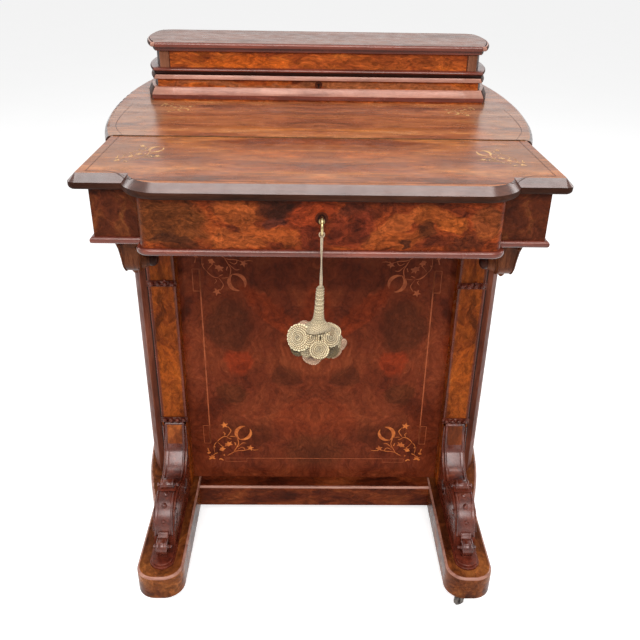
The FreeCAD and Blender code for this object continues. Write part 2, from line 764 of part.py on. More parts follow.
def make_writing_box():
    """The shallow box under the lid: bottom with its bead, front board, breakfront block, sides and back."""
    side_x = v.box_half + v.bead_side
    block_x = v.block_half + v.bead_side
    wing_y = v.box_front - v.bead_side
    block_y = v.block_front - v.bead_side
    corner = v.block_round + v.bead_side
    half = [
        (block_x - corner, block_y, OUT, corner),
        (block_x, block_y + corner),
        (block_x, wing_y),
        (side_x, wing_y),
        (side_x, v.seam, OUT, v.shoulder_radius),
        (v.box_shoulder_half + v.bead_side, v.shoulder_y, OUT, v.flank_radius),
        (v.box_rear_half + v.bead_side, v.box_rear),
    ]
    bottom = board("writing_box_bottom", mirrored(half), v.box_underside, v.bottom_thickness)
    dress(bottom, "Fillet", v.bead_round, at_height(box_floor, v.box_rear))
    dress(bottom, "Fillet", v.bead_round, at_height(v.box_underside, v.box_rear))
    node(bottom)
    height = box_top - box_floor
    front = cuboid("front_board", -v.box_half, v.box_front, box_floor, v.box_half * 2, v.board, height)
    lock_y = v.box_front + v.board - v.lock_depth
    seat = cuboid("lock_seat", -v.lock_half, lock_y, box_top - v.lock_height, v.lock_half * 2, v.board,
                  v.lock_height)
    node(cut("writing_box_front", front, keyhole_tools("front_key", v.box_front, v.board, key_z) + [seat]))
    block = board(
        "frieze_blank",
        mirrored([(v.block_half - v.block_round, v.block_front, OUT, v.block_round),
                  (v.block_half, v.block_front + v.block_round), (v.block_half, v.box_front)]),
        box_floor, height,
    )
    node(cut("breakfront_frieze", block,
             keyhole_tools("frieze_key", v.block_front, v.box_front - v.block_front, key_z)))
    inner = v.board
    side_half = [
        (v.box_half - inner, v.box_front + v.board),
        (v.box_half, v.box_front + v.board),
        (v.box_half, v.seam, OUT, v.shoulder_radius),
        (v.box_shoulder_half, v.shoulder_y, OUT, v.flank_radius),
        (v.box_rear_half, v.box_rear),
        (v.box_rear_half - inner, v.box_rear),
        (v.box_shoulder_half - inner, v.shoulder_y),
        (v.box_half - inner, v.seam),
    ]
    back_half = v.box_rear_half - v.rebate
    back = (-back_half, v.box_rear - v.board, box_floor, back_half * 2, v.board, height)
    for side, name in SIDES:
        flank = board(f"side_{name}_blank", flipped(side_half, side), box_floor, height)
        node(cut(f"writing_box_side_{name}", flank, [cuboid(f"side_{name}_rebate", *back)]))
    node(cuboid("writing_box_back", *back))


def make_tops():
    """The writing lid with its breakfront, and the fixed top behind the seam."""
    leaf = v.leaf_thickness
    half = [
        (v.break_half, v.lid_front, OUT, v.break_radius),
        (v.break_end, v.wing_front),
        (v.lid_half - v.lid_corner, v.wing_front, OUT, v.lid_corner),
        (v.lid_half, v.wing_front + v.lid_corner),
        (v.lid_half, v.seam - leaf),
    ]
    lid = board("writing_lid", mirrored(half), box_top, v.top_thickness)
    dress(lid, "Chamfer", v.lid_chamfer, at_height(top_level, v.seam - leaf))
    dress(lid, "Fillet", v.lid_edge_round, at_height(box_top, v.seam - leaf))
    node(lid)
    rear = [
        (v.lid_half, v.seam + leaf, OUT, v.shoulder_radius),
        (v.top_shoulder_half, v.shoulder_y, OUT, v.flank_radius),
        (v.top_rear_half, v.top_rear),
    ]
    top = board("fixed_top", mirrored(rear), box_top, v.top_thickness)
    dress(top, "Fillet", v.top_round, at_height(top_level, v.seam + leaf))
    dress(top, "Fillet", v.top_round, at_height(box_top, v.seam + leaf))
    node(top)


KNUCKLES = 9


def make_lid_hinge():
    """The brass strip hinge in the seam: two leaves let in between the edges, with alternate knuckles."""
    axis_z = top_level
    length = v.hinge_half * 2
    pitch = length / KNUCKLES
    lower = axis_z - v.leaf_depth
    for name, y, first in (("fixed", v.seam, 0), ("moving", v.seam - v.leaf_thickness, 1)):
        parts = [cuboid(f"leaf_{name}_plate", -v.hinge_half, y, lower, length, v.leaf_thickness,
                        v.leaf_depth - v.leaf_thickness)]
        for k in range(first, KNUCKLES, 2):
            start = -v.hinge_half + pitch * k + v.knuckle_gap
            run = pitch - v.knuckle_gap * 2
            parts.append(rod(f"leaf_{name}_knuckle_{k}", "X", start, v.seam, axis_z, v.knuckle_radius, run))
            parts.append(cuboid(f"leaf_{name}_web_{k}", start, y, axis_z - v.leaf_thickness * 1.5, run,
                                v.leaf_thickness, v.leaf_thickness * 1.5))
        node(joined(f"lid_hinge_{name}", parts))


def make_lock_and_key():
    """The lock inside the writing box, the escutcheons, and the key with its ring bow."""
    lock_y = v.box_front + v.board - v.lock_depth
    case = cuboid("lock_case", -v.lock_half, lock_y, box_top - v.lock_height,
                  v.lock_half * 2, v.lock_depth, v.lock_height)
    chamber = rod("lock_chamber", "Y", 0, lock_y + v.lock_face, key_z, v.chamber_radius, v.chamber_depth)
    node(cut("writing_box_lock", case, [chamber] + keyhole_tools("lock_key", lock_y, v.lock_face, key_z)))
    plates = []
    for name, face, z, radius, drop in (
        ("box", v.block_front, key_z, v.escutcheon_radius, v.bit_drop),
        ("stationery", v.st_front - v.band_front, box_key_z, v.box_escutcheon, v.box_key_drop),
    ):
        start = face - v.escutcheon_thickness
        disc = rod(f"escutcheon_{name}_disc", "Y", 0, start, z, radius, v.escutcheon_thickness)
        plates.append(cut(f"escutcheon_{name}", disc,
                          keyhole_tools(f"escutcheon_{name}_key", start, v.escutcheon_thickness, z, drop)))
    node(group("escutcheons", plates))
    bow = doc.addObject("Part::Torus", "key_bow")
    bow.Placement.Rotation = TURNS["X"]
    bind(bow, Radius1=v.bow_radius, Radius2=v.bow_wire)
    place(bow, 0, v.bow_y, key_z)
    shank_y = v.bow_y + v.bow_radius
    shank = rod("key_shank", "Y", 0, shank_y, key_z, v.key_radius, v.key_end - shank_y)
    collar = rod("key_collar", "Y", 0, v.collar_y, key_z, v.collar_radius, v.collar_length)
    bit = cuboid("key_bit", -(v.bit_thickness / 2), v.key_end - v.bit_length, key_z - v.bit_drop,
                 v.bit_thickness, v.bit_length, v.bit_drop)
    node(joined("key", [bow, shank, collar, bit]))


# ---------------------------------------------------------------- stationery box

def bowed_plan(side, front, rear=0):
    """The stationery box's bow-sided plan, grown by an amount at the sides, the front and the rear."""
    return mirrored([
        (v.st_half + side, v.st_front - front, OUT, v.st_bow),
        (v.st_rear_half + side, v.st_rear + rear),
    ])


def pad_on(body, corners, bottom, thickness):
    """One layer of a moulded piece."""
    return pad(body, draw(body, "XY_Plane", corners, bottom), thickness)


def make_stationery_box():
    """The stationery box: moulded base, lid frame and lid top, each open inside, and its rear hinge."""
    base = new_body("stationery_base_blank")
    ogee_foot = plinth_top
    ogee_top = plinth_top + v.ogee_height
    pad_on(base, bowed_plan(v.plinth_side, v.plinth_front), top_level, v.plinth_height)
    layers = [
        draw(base, "XY_Plane", bowed_plan(v.plinth_side - v.plinth_lip, v.plinth_front - v.plinth_lip), ogee_foot),
        draw(base, "XY_Plane", bowed_plan(v.band_side, v.band_front), ogee_top),
    ]
    ogee = base.newObject("PartDesign::AdditiveLoft", "ogee")
    ogee.Profile = layers[0]
    ogee.Sections = [layers[1]]
    ogee.Ruled = True
    doc.recompute()
    pad_on(base, bowed_plan(v.band_side, v.band_front), ogee_top, band_top - ogee_top)
    pad_on(base, bowed_plan(v.st_bead_side, v.st_bead_front), band_top, box_split - band_top)
    dress(base, "Fillet", v.st_bead_round, at_height(box_split, v.st_rear))
    hollow = cavity("stationery_base_hollow", plinth_top, box_split - plinth_top)
    hole = keyhole_tools("stationery_key", v.st_front - v.band_front, v.box_key_depth, box_key_z,
                         v.box_key_drop)
    node(cut("stationery_base", base, [hollow] + hole))
    frame = new_body("stationery_frame_blank")
    bead_top = box_split + v.lid_bead
    pad_on(frame, bowed_plan(v.st_bead_side, v.st_bead_front), box_split, v.lid_bead)
    dress(frame, "Fillet", v.st_bead_round, at_height(box_split, v.st_rear))
    pad_on(frame, bowed_plan(0, 0), bead_top, frieze_top - bead_top)
    node(cut("stationery_lid_frame", frame,
             [cavity("stationery_frame_hollow", box_split, frieze_top - box_split)]))
    top = new_body("stationery_lid_top")
    pad_on(top, bowed_plan(v.cavetto_out, v.cavetto_out), frieze_top, v.cavetto_height)
    torus_z = frieze_top + v.cavetto_height
    pad_on(top, mirrored([
        (v.torus_half, v.torus_front, OUT, v.torus_bow),
        (v.torus_corner_half, v.torus_rear - v.torus_corner, OUT, v.torus_corner),
        (v.torus_corner_half - v.torus_corner, v.torus_rear),
    ]), torus_z, v.torus_height)
    dress(top, "Fillet", v.torus_round, at_height(torus_z + v.torus_height))
    node(top)
    make_box_hinge()


def cavity(label, bottom, height):
    """The straight-sided hollow of the stationery box."""
    return cuboid(label, -v.cavity_half, v.cavity_front, bottom, v.cavity_half * 2,
                  v.cavity_rear - v.cavity_front, height)


def make_box_hinge():
    """Two butt hinges on the back of the stationery box, each with a fixed and a moving leaf."""
    axis_y = v.st_rear + v.box_knuckle + v.knuckle_gap / 2
    for name, direction in (("fixed", -1), ("moving", 1)):
        leaves = []
        for side, side_name in SIDES:
            label = f"butt_{name}_{side_name}"
            start = v.box_hinge_x * side - v.box_hinge_half
            reach = v.box_knuckle + v.knuckle_gap
            lower = box_split + (reach if direction > 0 else -v.box_leaf)
            plate = cuboid(label + "_leaf", start, v.st_rear, lower, v.box_hinge_half * 2, v.leaf_thickness,
                           v.box_leaf - reach)
            run = v.box_hinge_half - v.knuckle_gap
            run_start = start + (v.box_hinge_half + v.knuckle_gap) * (direction > 0)
            knuckle = rod(label + "_knuckle", "X", run_start, axis_y, box_split, v.box_knuckle, run)
            web = cuboid(label + "_web", run_start, v.st_rear, box_split if direction > 0 else box_split - reach,
                         run, v.leaf_thickness, reach)
            leaves.append(joined(label, [plate, knuckle, web]))
        node(group(f"stationery_hinge_{name}", leaves))


# ---------------------------------------------------------------- key tassel

def make_tassel():
    """The doubled cord that hangs from the key's ring, its crocheted stem and the rose of round petals."""
    cord_top = key_z - v.bow_radius - v.bow_wire - v.cord_gap
    cord_end = cord_top - v.cord_length
    node(rod("tassel_cord", "Z", 0, v.bow_y, cord_end, v.cord_radius, v.cord_length))
    stem = doc.addObject("Part::Cone", "tassel_stem")
    bind(stem, Radius1=v.stem_foot_radius, Radius2=v.stem_top_radius, Height=v.stem_length_cotton)
    stem_end = cord_end - v.stem_length_cotton
    place(stem, 0, v.bow_y, stem_end)
    stem.Label = "tassel_stem"
    node(stem)
    heart = turned_petal("rose_heart", 0, stem_end - v.rose_drop, v.rose_radius, v.rose_shoulder, v.rose_depth)
    petals = [
        turned_petal(f"rose_petal_{name}", v.petal_shift * side, stem_end - v.rose_drop, v.petal_radius,
                     v.petal_radius - v.rose_rim, v.petal_depth)
        for side, name in SIDES
    ]
    above = cuboid("rose_above", -v.rose_radius, v.bow_y - v.rose_radius, stem_end, v.rose_radius * 2,
                   v.rose_radius * 2, v.rose_radius)
    node(cut("tassel_rose", joined("rose_blank", [heart, *petals]), [above]))


def turned_petal(label, x, z, radius, shoulder, depth):
    """A round pad of the rose, facing the front, thinner towards its rim."""
    body = new_body(label)
    sketch = draw(body, "XZ_Plane", [
        (0, -depth), (v.rose_flat / 2, -depth), (shoulder, -(depth - v.rose_rim)), (radius, -v.rose_rim),
        (radius, v.rose_rim), (shoulder, depth - v.rose_rim), (v.rose_flat / 2, depth), (0, depth),
    ])
    turn = body.newObject("PartDesign::Revolution", label + "_turn")
    turn.Profile = sketch
    turn.ReferenceAxis = (sketch, ["V_Axis"])
    turn.Angle = 360
    body.Placement.Rotation = TURNS["Y"]
    place(body, x, v.bow_y, z)
    return body


def check_and_export():
    """Stop if any object failed or any sub-part is empty or unsound, then write the STEP files."""
    doc.recompute()
    for item in doc.Objects:
        if "Invalid" in item.State or "Error" in item.State:
            raise RuntimeError(f"{item.Label} failed: {item.State}")
    for name, item in nodes.items():
        if item.Shape.isNull() or not item.Shape.isValid() or not item.Shape.Solids:
            raise RuntimeError(f"{name} is empty or unsound")
    os.makedirs("parts", exist_ok=True)
    for name, item in nodes.items():
        item.Shape.exportStep(f"parts/{name}.step")
    print(len(nodes), "sub-parts")


make_base()
make_castors()
make_pedestal()
make_drawers()
make_pilasters()
make_consoles()
make_corbels()
make_writing_box()
make_tops()
make_lid_hinge()
make_lock_and_key()
make_stationery_box()
make_tassel()
check_and_export()
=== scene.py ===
from math import atan2, cos, pi, radians, sin, sqrt

import bmesh
import bpy
from mathutils import Matrix, Vector


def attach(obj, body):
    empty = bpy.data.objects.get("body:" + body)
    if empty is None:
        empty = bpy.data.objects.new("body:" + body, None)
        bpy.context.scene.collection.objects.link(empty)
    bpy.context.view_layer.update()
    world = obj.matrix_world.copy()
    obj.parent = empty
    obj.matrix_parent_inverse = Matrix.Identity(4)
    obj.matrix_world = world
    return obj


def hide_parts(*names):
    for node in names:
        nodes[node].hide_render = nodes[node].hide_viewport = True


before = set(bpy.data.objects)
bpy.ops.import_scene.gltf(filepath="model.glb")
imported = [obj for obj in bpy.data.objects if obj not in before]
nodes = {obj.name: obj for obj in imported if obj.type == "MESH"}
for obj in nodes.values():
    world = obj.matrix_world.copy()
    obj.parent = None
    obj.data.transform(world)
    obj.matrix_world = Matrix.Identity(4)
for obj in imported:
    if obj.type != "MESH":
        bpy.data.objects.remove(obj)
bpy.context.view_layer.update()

# Lengths are in mm unless a comment says otherwise, and are counted as in the CAD.
MM = 0.001
MIDDLE = 314.5            # where the frame's origin is in y
BOW = (0, -28, 673.6)     # the lowest point of the key's ring
KEYHOLE = (0, -3.5, 683)  # just before the face of the front escutcheon
LINE = 246                # the middle of the pilasters, consoles and corbels, to each side
FACE = 262                # the front face of the pilasters
HEAD = 636.2              # where the pilasters and corbels meet the writing box
FILM = 0.12               # how far inlay lies off the wood that it is let into


def at(x, y, z):
    """A point of the desk in metres, from millimetres."""
    return Vector((x * MM, (y - MIDDLE) * MM, z * MM))


def link(item):
    bpy.context.scene.collection.objects.link(item)
    return item


def circle(count):
    return [2 * pi * k / count for k in range(count)]


def arc(turn, count):
    return [turn * k / count for k in range(count + 1)]


# ---- camera, fitted to the photo by least squares

camera = link(bpy.data.objects.new("camera", bpy.data.cameras.new("camera")))
bpy.context.scene.camera = camera
camera.data.lens = 40.805
camera.data.sensor_width = 36
pitch = radians(27.582)
roll = radians(0.964)
right = Vector((0.99982, -0.01922, 0)).normalized()
level = Vector((0.01922, 0.99982, 0)).normalized()
forward = level * cos(pitch) - Vector((0, 0, 1)) * sin(pitch)
upward = level * sin(pitch) + Vector((0, 0, 1)) * cos(pitch)
axis_x = right * cos(roll) + upward * sin(roll)
axis_y = upward * cos(roll) - right * sin(roll)
camera.matrix_world = Matrix.Translation(Vector((-0.0150, -1.0979, 0.9613))) @ Matrix(
    (axis_x, axis_y, -forward)).transposed().to_4x4()


# ---- materials


def colour(rgb, gain=(1, 1, 1)):
    """An sRGB colour, 0 to 255, as Blender's linear one, each channel times its gain."""
    def linear(c):
        c /= 255
        return c / 12.92 if c <= 0.04045 else ((c + 0.055) / 1.055) ** 2.4
    return (*(linear(c) * g for c, g in zip(rgb, gain)), 1)


class Finish:
    """A material, with short ways to add the nodes that it is made of."""

    def __init__(self, name):
        self.material = bpy.data.materials.new(name)
        self.material.use_nodes = True
        self.tree = self.material.node_tree
        self.shader = self.tree.nodes["Principled BSDF"]

    def feed(self, socket, value):
        if isinstance(value, bpy.types.NodeSocket):
            self.tree.links.new(value, socket)
        else:
            socket.default_value = value

    def node(self, kind, inputs, **settings):
        made = self.tree.nodes.new(kind)
        for key, value in settings.items():
            setattr(made, key, value)
        for key, value in inputs.items():
            self.feed(made.inputs[key], value)
        return made

    def math(self, operation, a, b=0.0, clamp=False):
        return self.node("ShaderNodeMath", {0: a, 1: b}, operation=operation, use_clamp=clamp).outputs[0]

    def plus(self, a, b):
        return self.math("ADD", a, b)

    def minus(self, a, b, clamp=False):
        return self.math("SUBTRACT", a, b, clamp)

    def times(self, a, b):
        return self.math("MULTIPLY", a, b)

    def vector(self, operation, a, b=(0, 0, 0)):
        made = self.node("ShaderNodeVectorMath", {0: a, 1: b}, operation=operation)
        return made.outputs["Value" if operation == "LENGTH" else "Vector"]

    def moved(self, vector, by):
        return self.vector("ADD", vector, by)

    def scaled(self, vector, by):
        return self.vector("MULTIPLY", vector, by if isinstance(by, tuple) else (by, by, by))

    def place(self):
        """Where a point of the desk is, in metres."""
        return self.node("ShaderNodeTexCoord", {}).outputs["Object"]

    def split(self, vector):
        return self.node("ShaderNodeSeparateXYZ", {0: vector}).outputs

    def join(self, x, y, z):
        return self.node("ShaderNodeCombineXYZ", {0: x, 1: y, 2: z}).outputs[0]

    def noise(self, vector, scale, detail=3.0, rough=0.5, distortion=0.0, out=0):
        """Fractal noise; out is 0 for its value and 1 for three values as a colour."""
        return self.node("ShaderNodeTexNoise", {
            "Vector": vector, "Scale": scale, "Detail": detail, "Roughness": rough,
            "Distortion": distortion}).outputs[out]

    def cells(self, vector, scale):
        """How far the nearest of scattered points is."""
        return self.node("ShaderNodeTexVoronoi", {"Vector": vector, "Scale": scale}).outputs["Distance"]

    def ramp(self, value, stops, smooth=False):
        """stops are (position, colour or grey)."""
        made = self.node("ShaderNodeValToRGB", {0: value})
        band = made.color_ramp
        band.interpolation = "EASE" if smooth else "LINEAR"
        while len(band.elements) < len(stops):
            band.elements.new(1.0)
        for element, (position, shade) in zip(band.elements, stops):
            element.position = position
            element.color = shade if isinstance(shade, tuple) else (shade, shade, shade, 1)
        return made.outputs[0]

    def mix(self, share, a, b, blend="MIX"):
        made = self.node("ShaderNodeMix", {0: share, 6: a, 7: b}, data_type="RGBA", blend_type=blend)
        return made.outputs[2]

    def toned(self, body, share, value, *stops):
        """A colour made darker and lighter by a ramp of greys."""
        return self.mix(share, body, self.ramp(value, stops), "MULTIPLY")

    def spot(self, across, up, centre, half, tilt):
        """A soft-edged oval: 1 inside and 0 outside. across and up are the place on the surface."""
        turn = radians(tilt)
        dx, dy = self.minus(across, centre[0]), self.minus(up, centre[1])
        along = self.plus(self.times(dx, cos(turn) / half[0]), self.times(dy, sin(turn) / half[0]))
        over = self.minus(self.times(dy, cos(turn) / half[1]), self.times(dx, sin(turn) / half[1]))
        far = self.vector("LENGTH", self.join(along, over, 0.0))
        return self.ramp(far, [(0.65, 1.0), (1.0, 0.0)], smooth=True)

    def bump(self, height, strength, distance=0.0004):
        made = self.node("ShaderNodeBump", {"Height": height, "Strength": strength, "Distance": distance})
        self.feed(self.shader.inputs["Normal"], made.outputs[0])

    def finish(self, base, rough, metallic=0.0, specular=0.5, sheen=0.0, tint=None):
        put = self.shader.inputs
        if tint:
            put["Specular Tint"].default_value = (*tint, 1)
        self.feed(put["Base Color"], base)
        self.feed(put["Roughness"], rough)
        put["Metallic"].default_value = metallic
        put["Specular IOR Level"].default_value = specular
        put["Sheen Weight"].default_value = sheen
        return self.material


WARM = (1.0, 0.72, 0.6)           # what an old shellac polish does to a reflection
PIP = (0.016, 0.005, 0.003, 1)    # the dark dots of a burr


def veneer(name, shades, ring_share, scale=9.0, grain=(1, 1, 1), swirl=0.05, rings=9.0, mottle=0.6, pips=0.4,
           spread=0.2, face="xz", eyes=(), patches=(), match=False, seed=0.0, specular=0.16,
           rough=(0.22, 0.38), fine=170.0, gain=(1, 1, 1), tint=WARM):
    """Figured veneer under an old polish. shades run from the darkest to the lightest. ring_share is how
    strong the figure's lines are, and grain how much finer it is along each axis. eyes are (across, up, half
    width, half height, rings) of the swirls that it turns round, and patches (across, up, half width, half
    height, tilt, colour, share) of its clouds, in metres and degrees; a few patches are painted shadow or a
    painted reflection. match mirrors it about the middle."""
    f = Finish(name)
    shades = [colour(shade, gain) for shade in shades]
    x, y, z = f.split(f.place())[:3]
    if match:
        x = f.math("ABSOLUTE", x)
    here = f.join(x, y, z)
    drawn = f.scaled(f.moved(here, (seed, seed * 1.7, seed * 0.6)), grain)
    wander = f.vector("SUBTRACT", f.noise(drawn, scale * 1.3, 3, 0.55, 0.4, out=1), (0.5, 0.5, 0.5))
    curl = f.vector("SUBTRACT", f.noise(drawn, scale * 5, 3, 0.6, 0.2, out=1), (0.5, 0.5, 0.5))
    bent, over = (f.moved(start, f.moved(f.scaled(wander, swirl * wide), f.scaled(curl, swirl * tight)))
                  for start, wide, tight in ((drawn, 1, 0.22), (here, 0.9, 0.3)))
    ox, oy, oz = f.split(over)[:3]
    across, up = (ox, oz) if face == "xz" else (ox, oy)
    field = f.noise(bent, scale, 3.0, 0.5, 0.6)
    for middle_x, middle_z, wide, tall, count in eyes:
        off = f.join(f.times(f.minus(across, middle_x), 1 / wide), 0.0,
                     f.times(f.minus(up, middle_z), 1 / tall))
        near = f.minus(1.0, f.vector("LENGTH", off), clamp=True)
        field = f.plus(field, f.times(f.times(near, near), count / rings))
    tone = f.noise(bent, scale * 1.7, 8.0, 0.58, 0.5)
    body = f.ramp(tone, [(0.5 + spread * far, shade) for far, shade in zip((-1, -0.35, 0.3, 1), shades)])
    for px, pz, wide, tall, tilt, shade, share in patches:
        mask = f.spot(across, up, (px, pz), (wide, tall), tilt)
        texture = f.toned(colour(shade, gain), 0.45, tone, (0.35, 0.45), (0.65, 1.25))
        body = f.mix(f.times(mask, share), body, texture)
    wave = f.math("PINGPONG", f.times(field, rings), 0.5)
    line = f.ramp(wave, [(0.0, 0.0), (0.16, 0.7), (0.5, 1.0)], smooth=True)
    strong = f.ramp(f.noise(drawn, scale * 2.2, 3.0), [(0.38, 0.15), (0.62, 1.0)])
    body = f.mix(f.times(f.times(f.minus(1.0, line), strong), ring_share), body, shades[0])
    speckle, cloud = f.noise(bent, fine, 5.0, 0.75, 0.4), f.noise(bent, fine * 0.3, 5.0, 0.65, 1.6)
    body = f.toned(body, mottle, speckle, (0.34, 0.2), (0.5, 0.95), (0.66, 1.8))
    body = f.toned(body, mottle, cloud, (0.36, 0.35), (0.5, 1.0), (0.66, 1.6))
    where = f.ramp(f.noise(here, scale * 2.1, 2.0), [(0.52, 0.0), (0.62, 1.0)])
    dots = f.ramp(f.cells(bent, scale * 11), [(0.0, 1.0), (0.22, 0.0)])
    body = f.mix(f.times(f.times(where, dots), pips), body, PIP)
    pores = f.noise(f.scaled(here, (900, 900, 300)), 1.0, 2.0)
    gloss = f.ramp(f.noise(here, 34, 6.0, 0.7), [(0.35, rough[0]), (0.68, rough[1])])
    f.bump(f.plus(f.times(pores, 0.3), f.noise(here, 70, 4.0)), 0.14)
    return f.finish(body, gloss, specular=specular, tint=tint)


def straight(name, dark, mid, light, along, scale=14.0, rough=(0.28, 0.5), worn=0.0, specular=0.16, seed=0.0,
             contrast=0.6, tint=WARM):
    """Plain straight-grained wood; along is the grain's axis, 0, 1 or 2."""
    f = Finish(name)
    dark, mid, light = colour(dark), colour(mid), colour(light)
    here = f.moved(f.place(), (seed, seed, seed * 2))
    drawn = f.scaled(here, tuple(0.7 if axis == along else 9.0 for axis in range(3)))
    body = f.ramp(f.noise(drawn, scale * 0.6, 7.0, 0.65, 0.6), [(0.3, dark), (0.5, mid), (0.7, light)])
    body = f.toned(body, 0.6, f.noise(here, 16, 4.0, 0.6, 0.6), (0.34, 0.55), (0.5, 1.0), (0.68, 1.25))
    fine = f.noise(drawn, scale * 7, 4.0, 0.7)
    body = f.toned(body, contrast, fine, (0.3, 0.45), (0.52, 1.0), (0.72, 1.4))
    if worn:
        edge = f.node("ShaderNodeNewGeometry", {}).outputs["Pointiness"]
        rub = f.ramp(f.plus(edge, f.times(f.noise(here, 90, 4.0), 0.06)), [(0.53, 0.0), (0.6, 1.0)])
        body = f.mix(f.times(rub, worn), body, light)
    gloss = f.ramp(f.noise(here, 50, 5.0, 0.65), [(0.35, rough[0]), (0.68, rough[1])])
    f.bump(fine, 0.14)
    return f.finish(body, gloss, specular=specular, tint=tint)


def metal(name, base, tarnish, rough=(0.25, 0.5), seed=0.0):
    f = Finish(name)
    here = f.moved(f.place(), (seed, seed, seed))
    cloud = f.noise(here, 120, 5.0, 0.7, 0.5)
    body = f.mix(f.ramp(cloud, [(0.4, 0.0), (0.66, 1.0)]), colour(base), colour(tarnish))
    gloss = f.ramp(f.noise(here, 300, 4.0, 0.6), [(0.3, rough[0]), (0.7, rough[1])])
    f.bump(f.noise(here, 900, 3.0, 0.7), 0.1, 0.0002)
    return f.finish(body, gloss, metallic=1.0)


def crochet(name, base, shade, hole):
    """Cotton worked in rings of stitches: u runs along a row and v across it, in stitches."""
    f = Finish(name)
    uv = f.node("ShaderNodeUVMap", {}, uv_map="stitch").outputs[0]
    u, v = f.split(uv)[:2]
    shift = f.plus(u, f.times(f.math("FLOOR", v), 0.5))
    across, along = f.math("PINGPONG", v, 0.5), f.math("PINGPONG", shift, 0.5)
    lump = f.times(f.math("POWER", f.times(across, 2.0), 0.6), f.math("POWER", f.times(along, 2.0), 0.5))
    here = f.place()
    strand = f.noise(here, 900, 3.0, 0.7)
    # Between the stitches the colour turns to the shade colour: painted shade in the holes.
    gap = f.ramp(lump, [(0.1, 1.0), (0.12 + hole, 0.5), (0.3 + hole, 0.0)])
    body = f.mix(gap, colour(base), colour(shade))
    body = f.toned(body, 0.6, f.noise(here, 60, 4.0, 0.6), (0.35, 0.8), (0.65, 1.15))
    body = f.toned(body, 0.4, strand, (0.3, 0.6), (0.65, 1.2))
    f.bump(f.plus(lump, f.times(strand, 0.25)), 1.0, 0.0011)
    return f.finish(body, f.ramp(strand, [(0.2, 0.75), (0.8, 0.95)]), specular=0.2, sheen=0.15)


def inlay(name, base, shade):
    """Thin light wood let into the veneer, worn and stained with it; the same finish also makes near-black
    strips of painted shadow.
    """
    f = Finish(name)
    here = f.place()
    tone = f.noise(here, 90, 5.0, 0.65, 0.5)
    f.bump(f.noise(here, 500, 3.0), 0.1)
    return f.finish(f.ramp(tone, [(0.34, colour(shade)), (0.6, colour(base))]),
                    f.ramp(tone, [(0.3, 0.3), (0.7, 0.42)]), specular=0.16, tint=WARM)


ORANGE = (186, 92, 34)
UMBER = (66, 34, 24)
RUSSET = (144, 58, 32)
TAWNY = (166, 86, 44)
# The panel's first patch darkens its top, under the writing box: painted shadow of the box.
panel_wood = veneer("panel_burr", ((58, 24, 18), (110, 48, 32), (134, 64, 42), (158, 84, 56)), 0.4,
    scale=8.0, grain=(1, 1, 0.8), rings=11.0, swirl=0.07, pips=0.3, match=True, spread=0.24, mottle=0.35,
    fine=150.0, specular=0.07, gain=(0.86, 0.78, 0.6),
    eyes=((0.145, 0.39, 0.07, 0.085, 7), (0.055, 0.29, 0.06, 0.075, 6), (0.14, 0.27, 0.06, 0.07, 5),
        (0.0, 0.10, 0.14, 0.12, 7), (0.02, 0.49, 0.16, 0.10, 5)),
    patches=((0.05, 0.50, 0.12, 0.055, 0, (88, 34, 22), 0.7), (0.075, 0.41, 0.085, 0.024, 48, RUSSET, 0.8),
        (0.0, 0.40, 0.035, 0.08, 0, (136, 54, 30), 0.7), (0.145, 0.385, 0.045, 0.055, 0, UMBER, 0.6),
        (0.133, 0.32, 0.026, 0.026, 0, (160, 60, 34), 0.7), (0.055, 0.292, 0.03, 0.03, 20, UMBER, 0.55),
        (0.15, 0.26, 0.03, 0.03, 0, (80, 42, 26), 0.6), (0.025, 0.2, 0.06, 0.05, 0, RUSSET, 0.3),
        (0.0, 0.13, 0.07, 0.045, 0, (104, 54, 34), 0.6), (0.24, 0.33, 0.025, 0.2, 0, RUSSET, 0.4),
        (0.12, 0.165, 0.05, 0.03, -20, (96, 46, 28), 0.5)))
frieze_wood = veneer("frieze_burr", ((50, 22, 15), (100, 42, 24), (140, 62, 30), (186, 96, 44)), 0.4,
    scale=14.0, grain=(0.8, 1, 1.3), pips=0.6, seed=1.3, spread=0.22, mottle=0.7, specular=0.1,
    gain=(0.8, 0.72, 0.6),
    patches=((-0.175, 0.675, 0.055, 0.04, 0, (104, 58, 30), 0.85),
        (-0.165, 0.652, 0.035, 0.008, -8, (62, 32, 22), 0.7), (-0.096, 0.69, 0.034, 0.017, -10, TAWNY, 0.9),
        (-0.1, 0.655, 0.042, 0.016, -6, TAWNY, 0.85), (-0.065, 0.664, 0.05, 0.009, -24, (164, 82, 40), 0.9),
        (-0.05, 0.692, 0.028, 0.014, -15, (54, 28, 22), 0.85),
        (-0.048, 0.675, 0.02, 0.009, -12, (74, 38, 34), 0.8), (-0.012, 0.682, 0.03, 0.02, 20, RUSSET, 0.8),
        (-0.012, 0.654, 0.018, 0.02, 0, (92, 34, 24), 0.75),
        (0.035, 0.672, 0.03, 0.03, 0, (108, 42, 28), 0.7), (0.03, 0.69, 0.02, 0.01, 20, (74, 34, 24), 0.7),
        (0.09, 0.678, 0.05, 0.012, 28, TAWNY, 0.9), (0.08, 0.655, 0.045, 0.014, 4, (160, 80, 38), 0.85),
        (0.125, 0.684, 0.03, 0.016, 0, (152, 78, 38), 0.85),
        (0.12, 0.663, 0.012, 0.012, 50, (88, 46, 26), 0.8), (0.098, 0.65, 0.008, 0.006, 45, UMBER, 0.85),
        (0.15, 0.673, 0.02, 0.014, 10, (186, 98, 44), 0.7), (0.17, 0.652, 0.03, 0.012, 8, UMBER, 0.55),
        (0.19, 0.68, 0.02, 0.025, 0, (140, 76, 42), 0.7)))
wing_wood = veneer("wing_burr", ((40, 18, 14), (76, 32, 22), (104, 46, 28), (136, 74, 42)), 0.4, scale=15.0,
    rings=8.0, seed=4.3, mottle=0.5, specular=0.1, gain=(0.68, 0.72, 0.6))
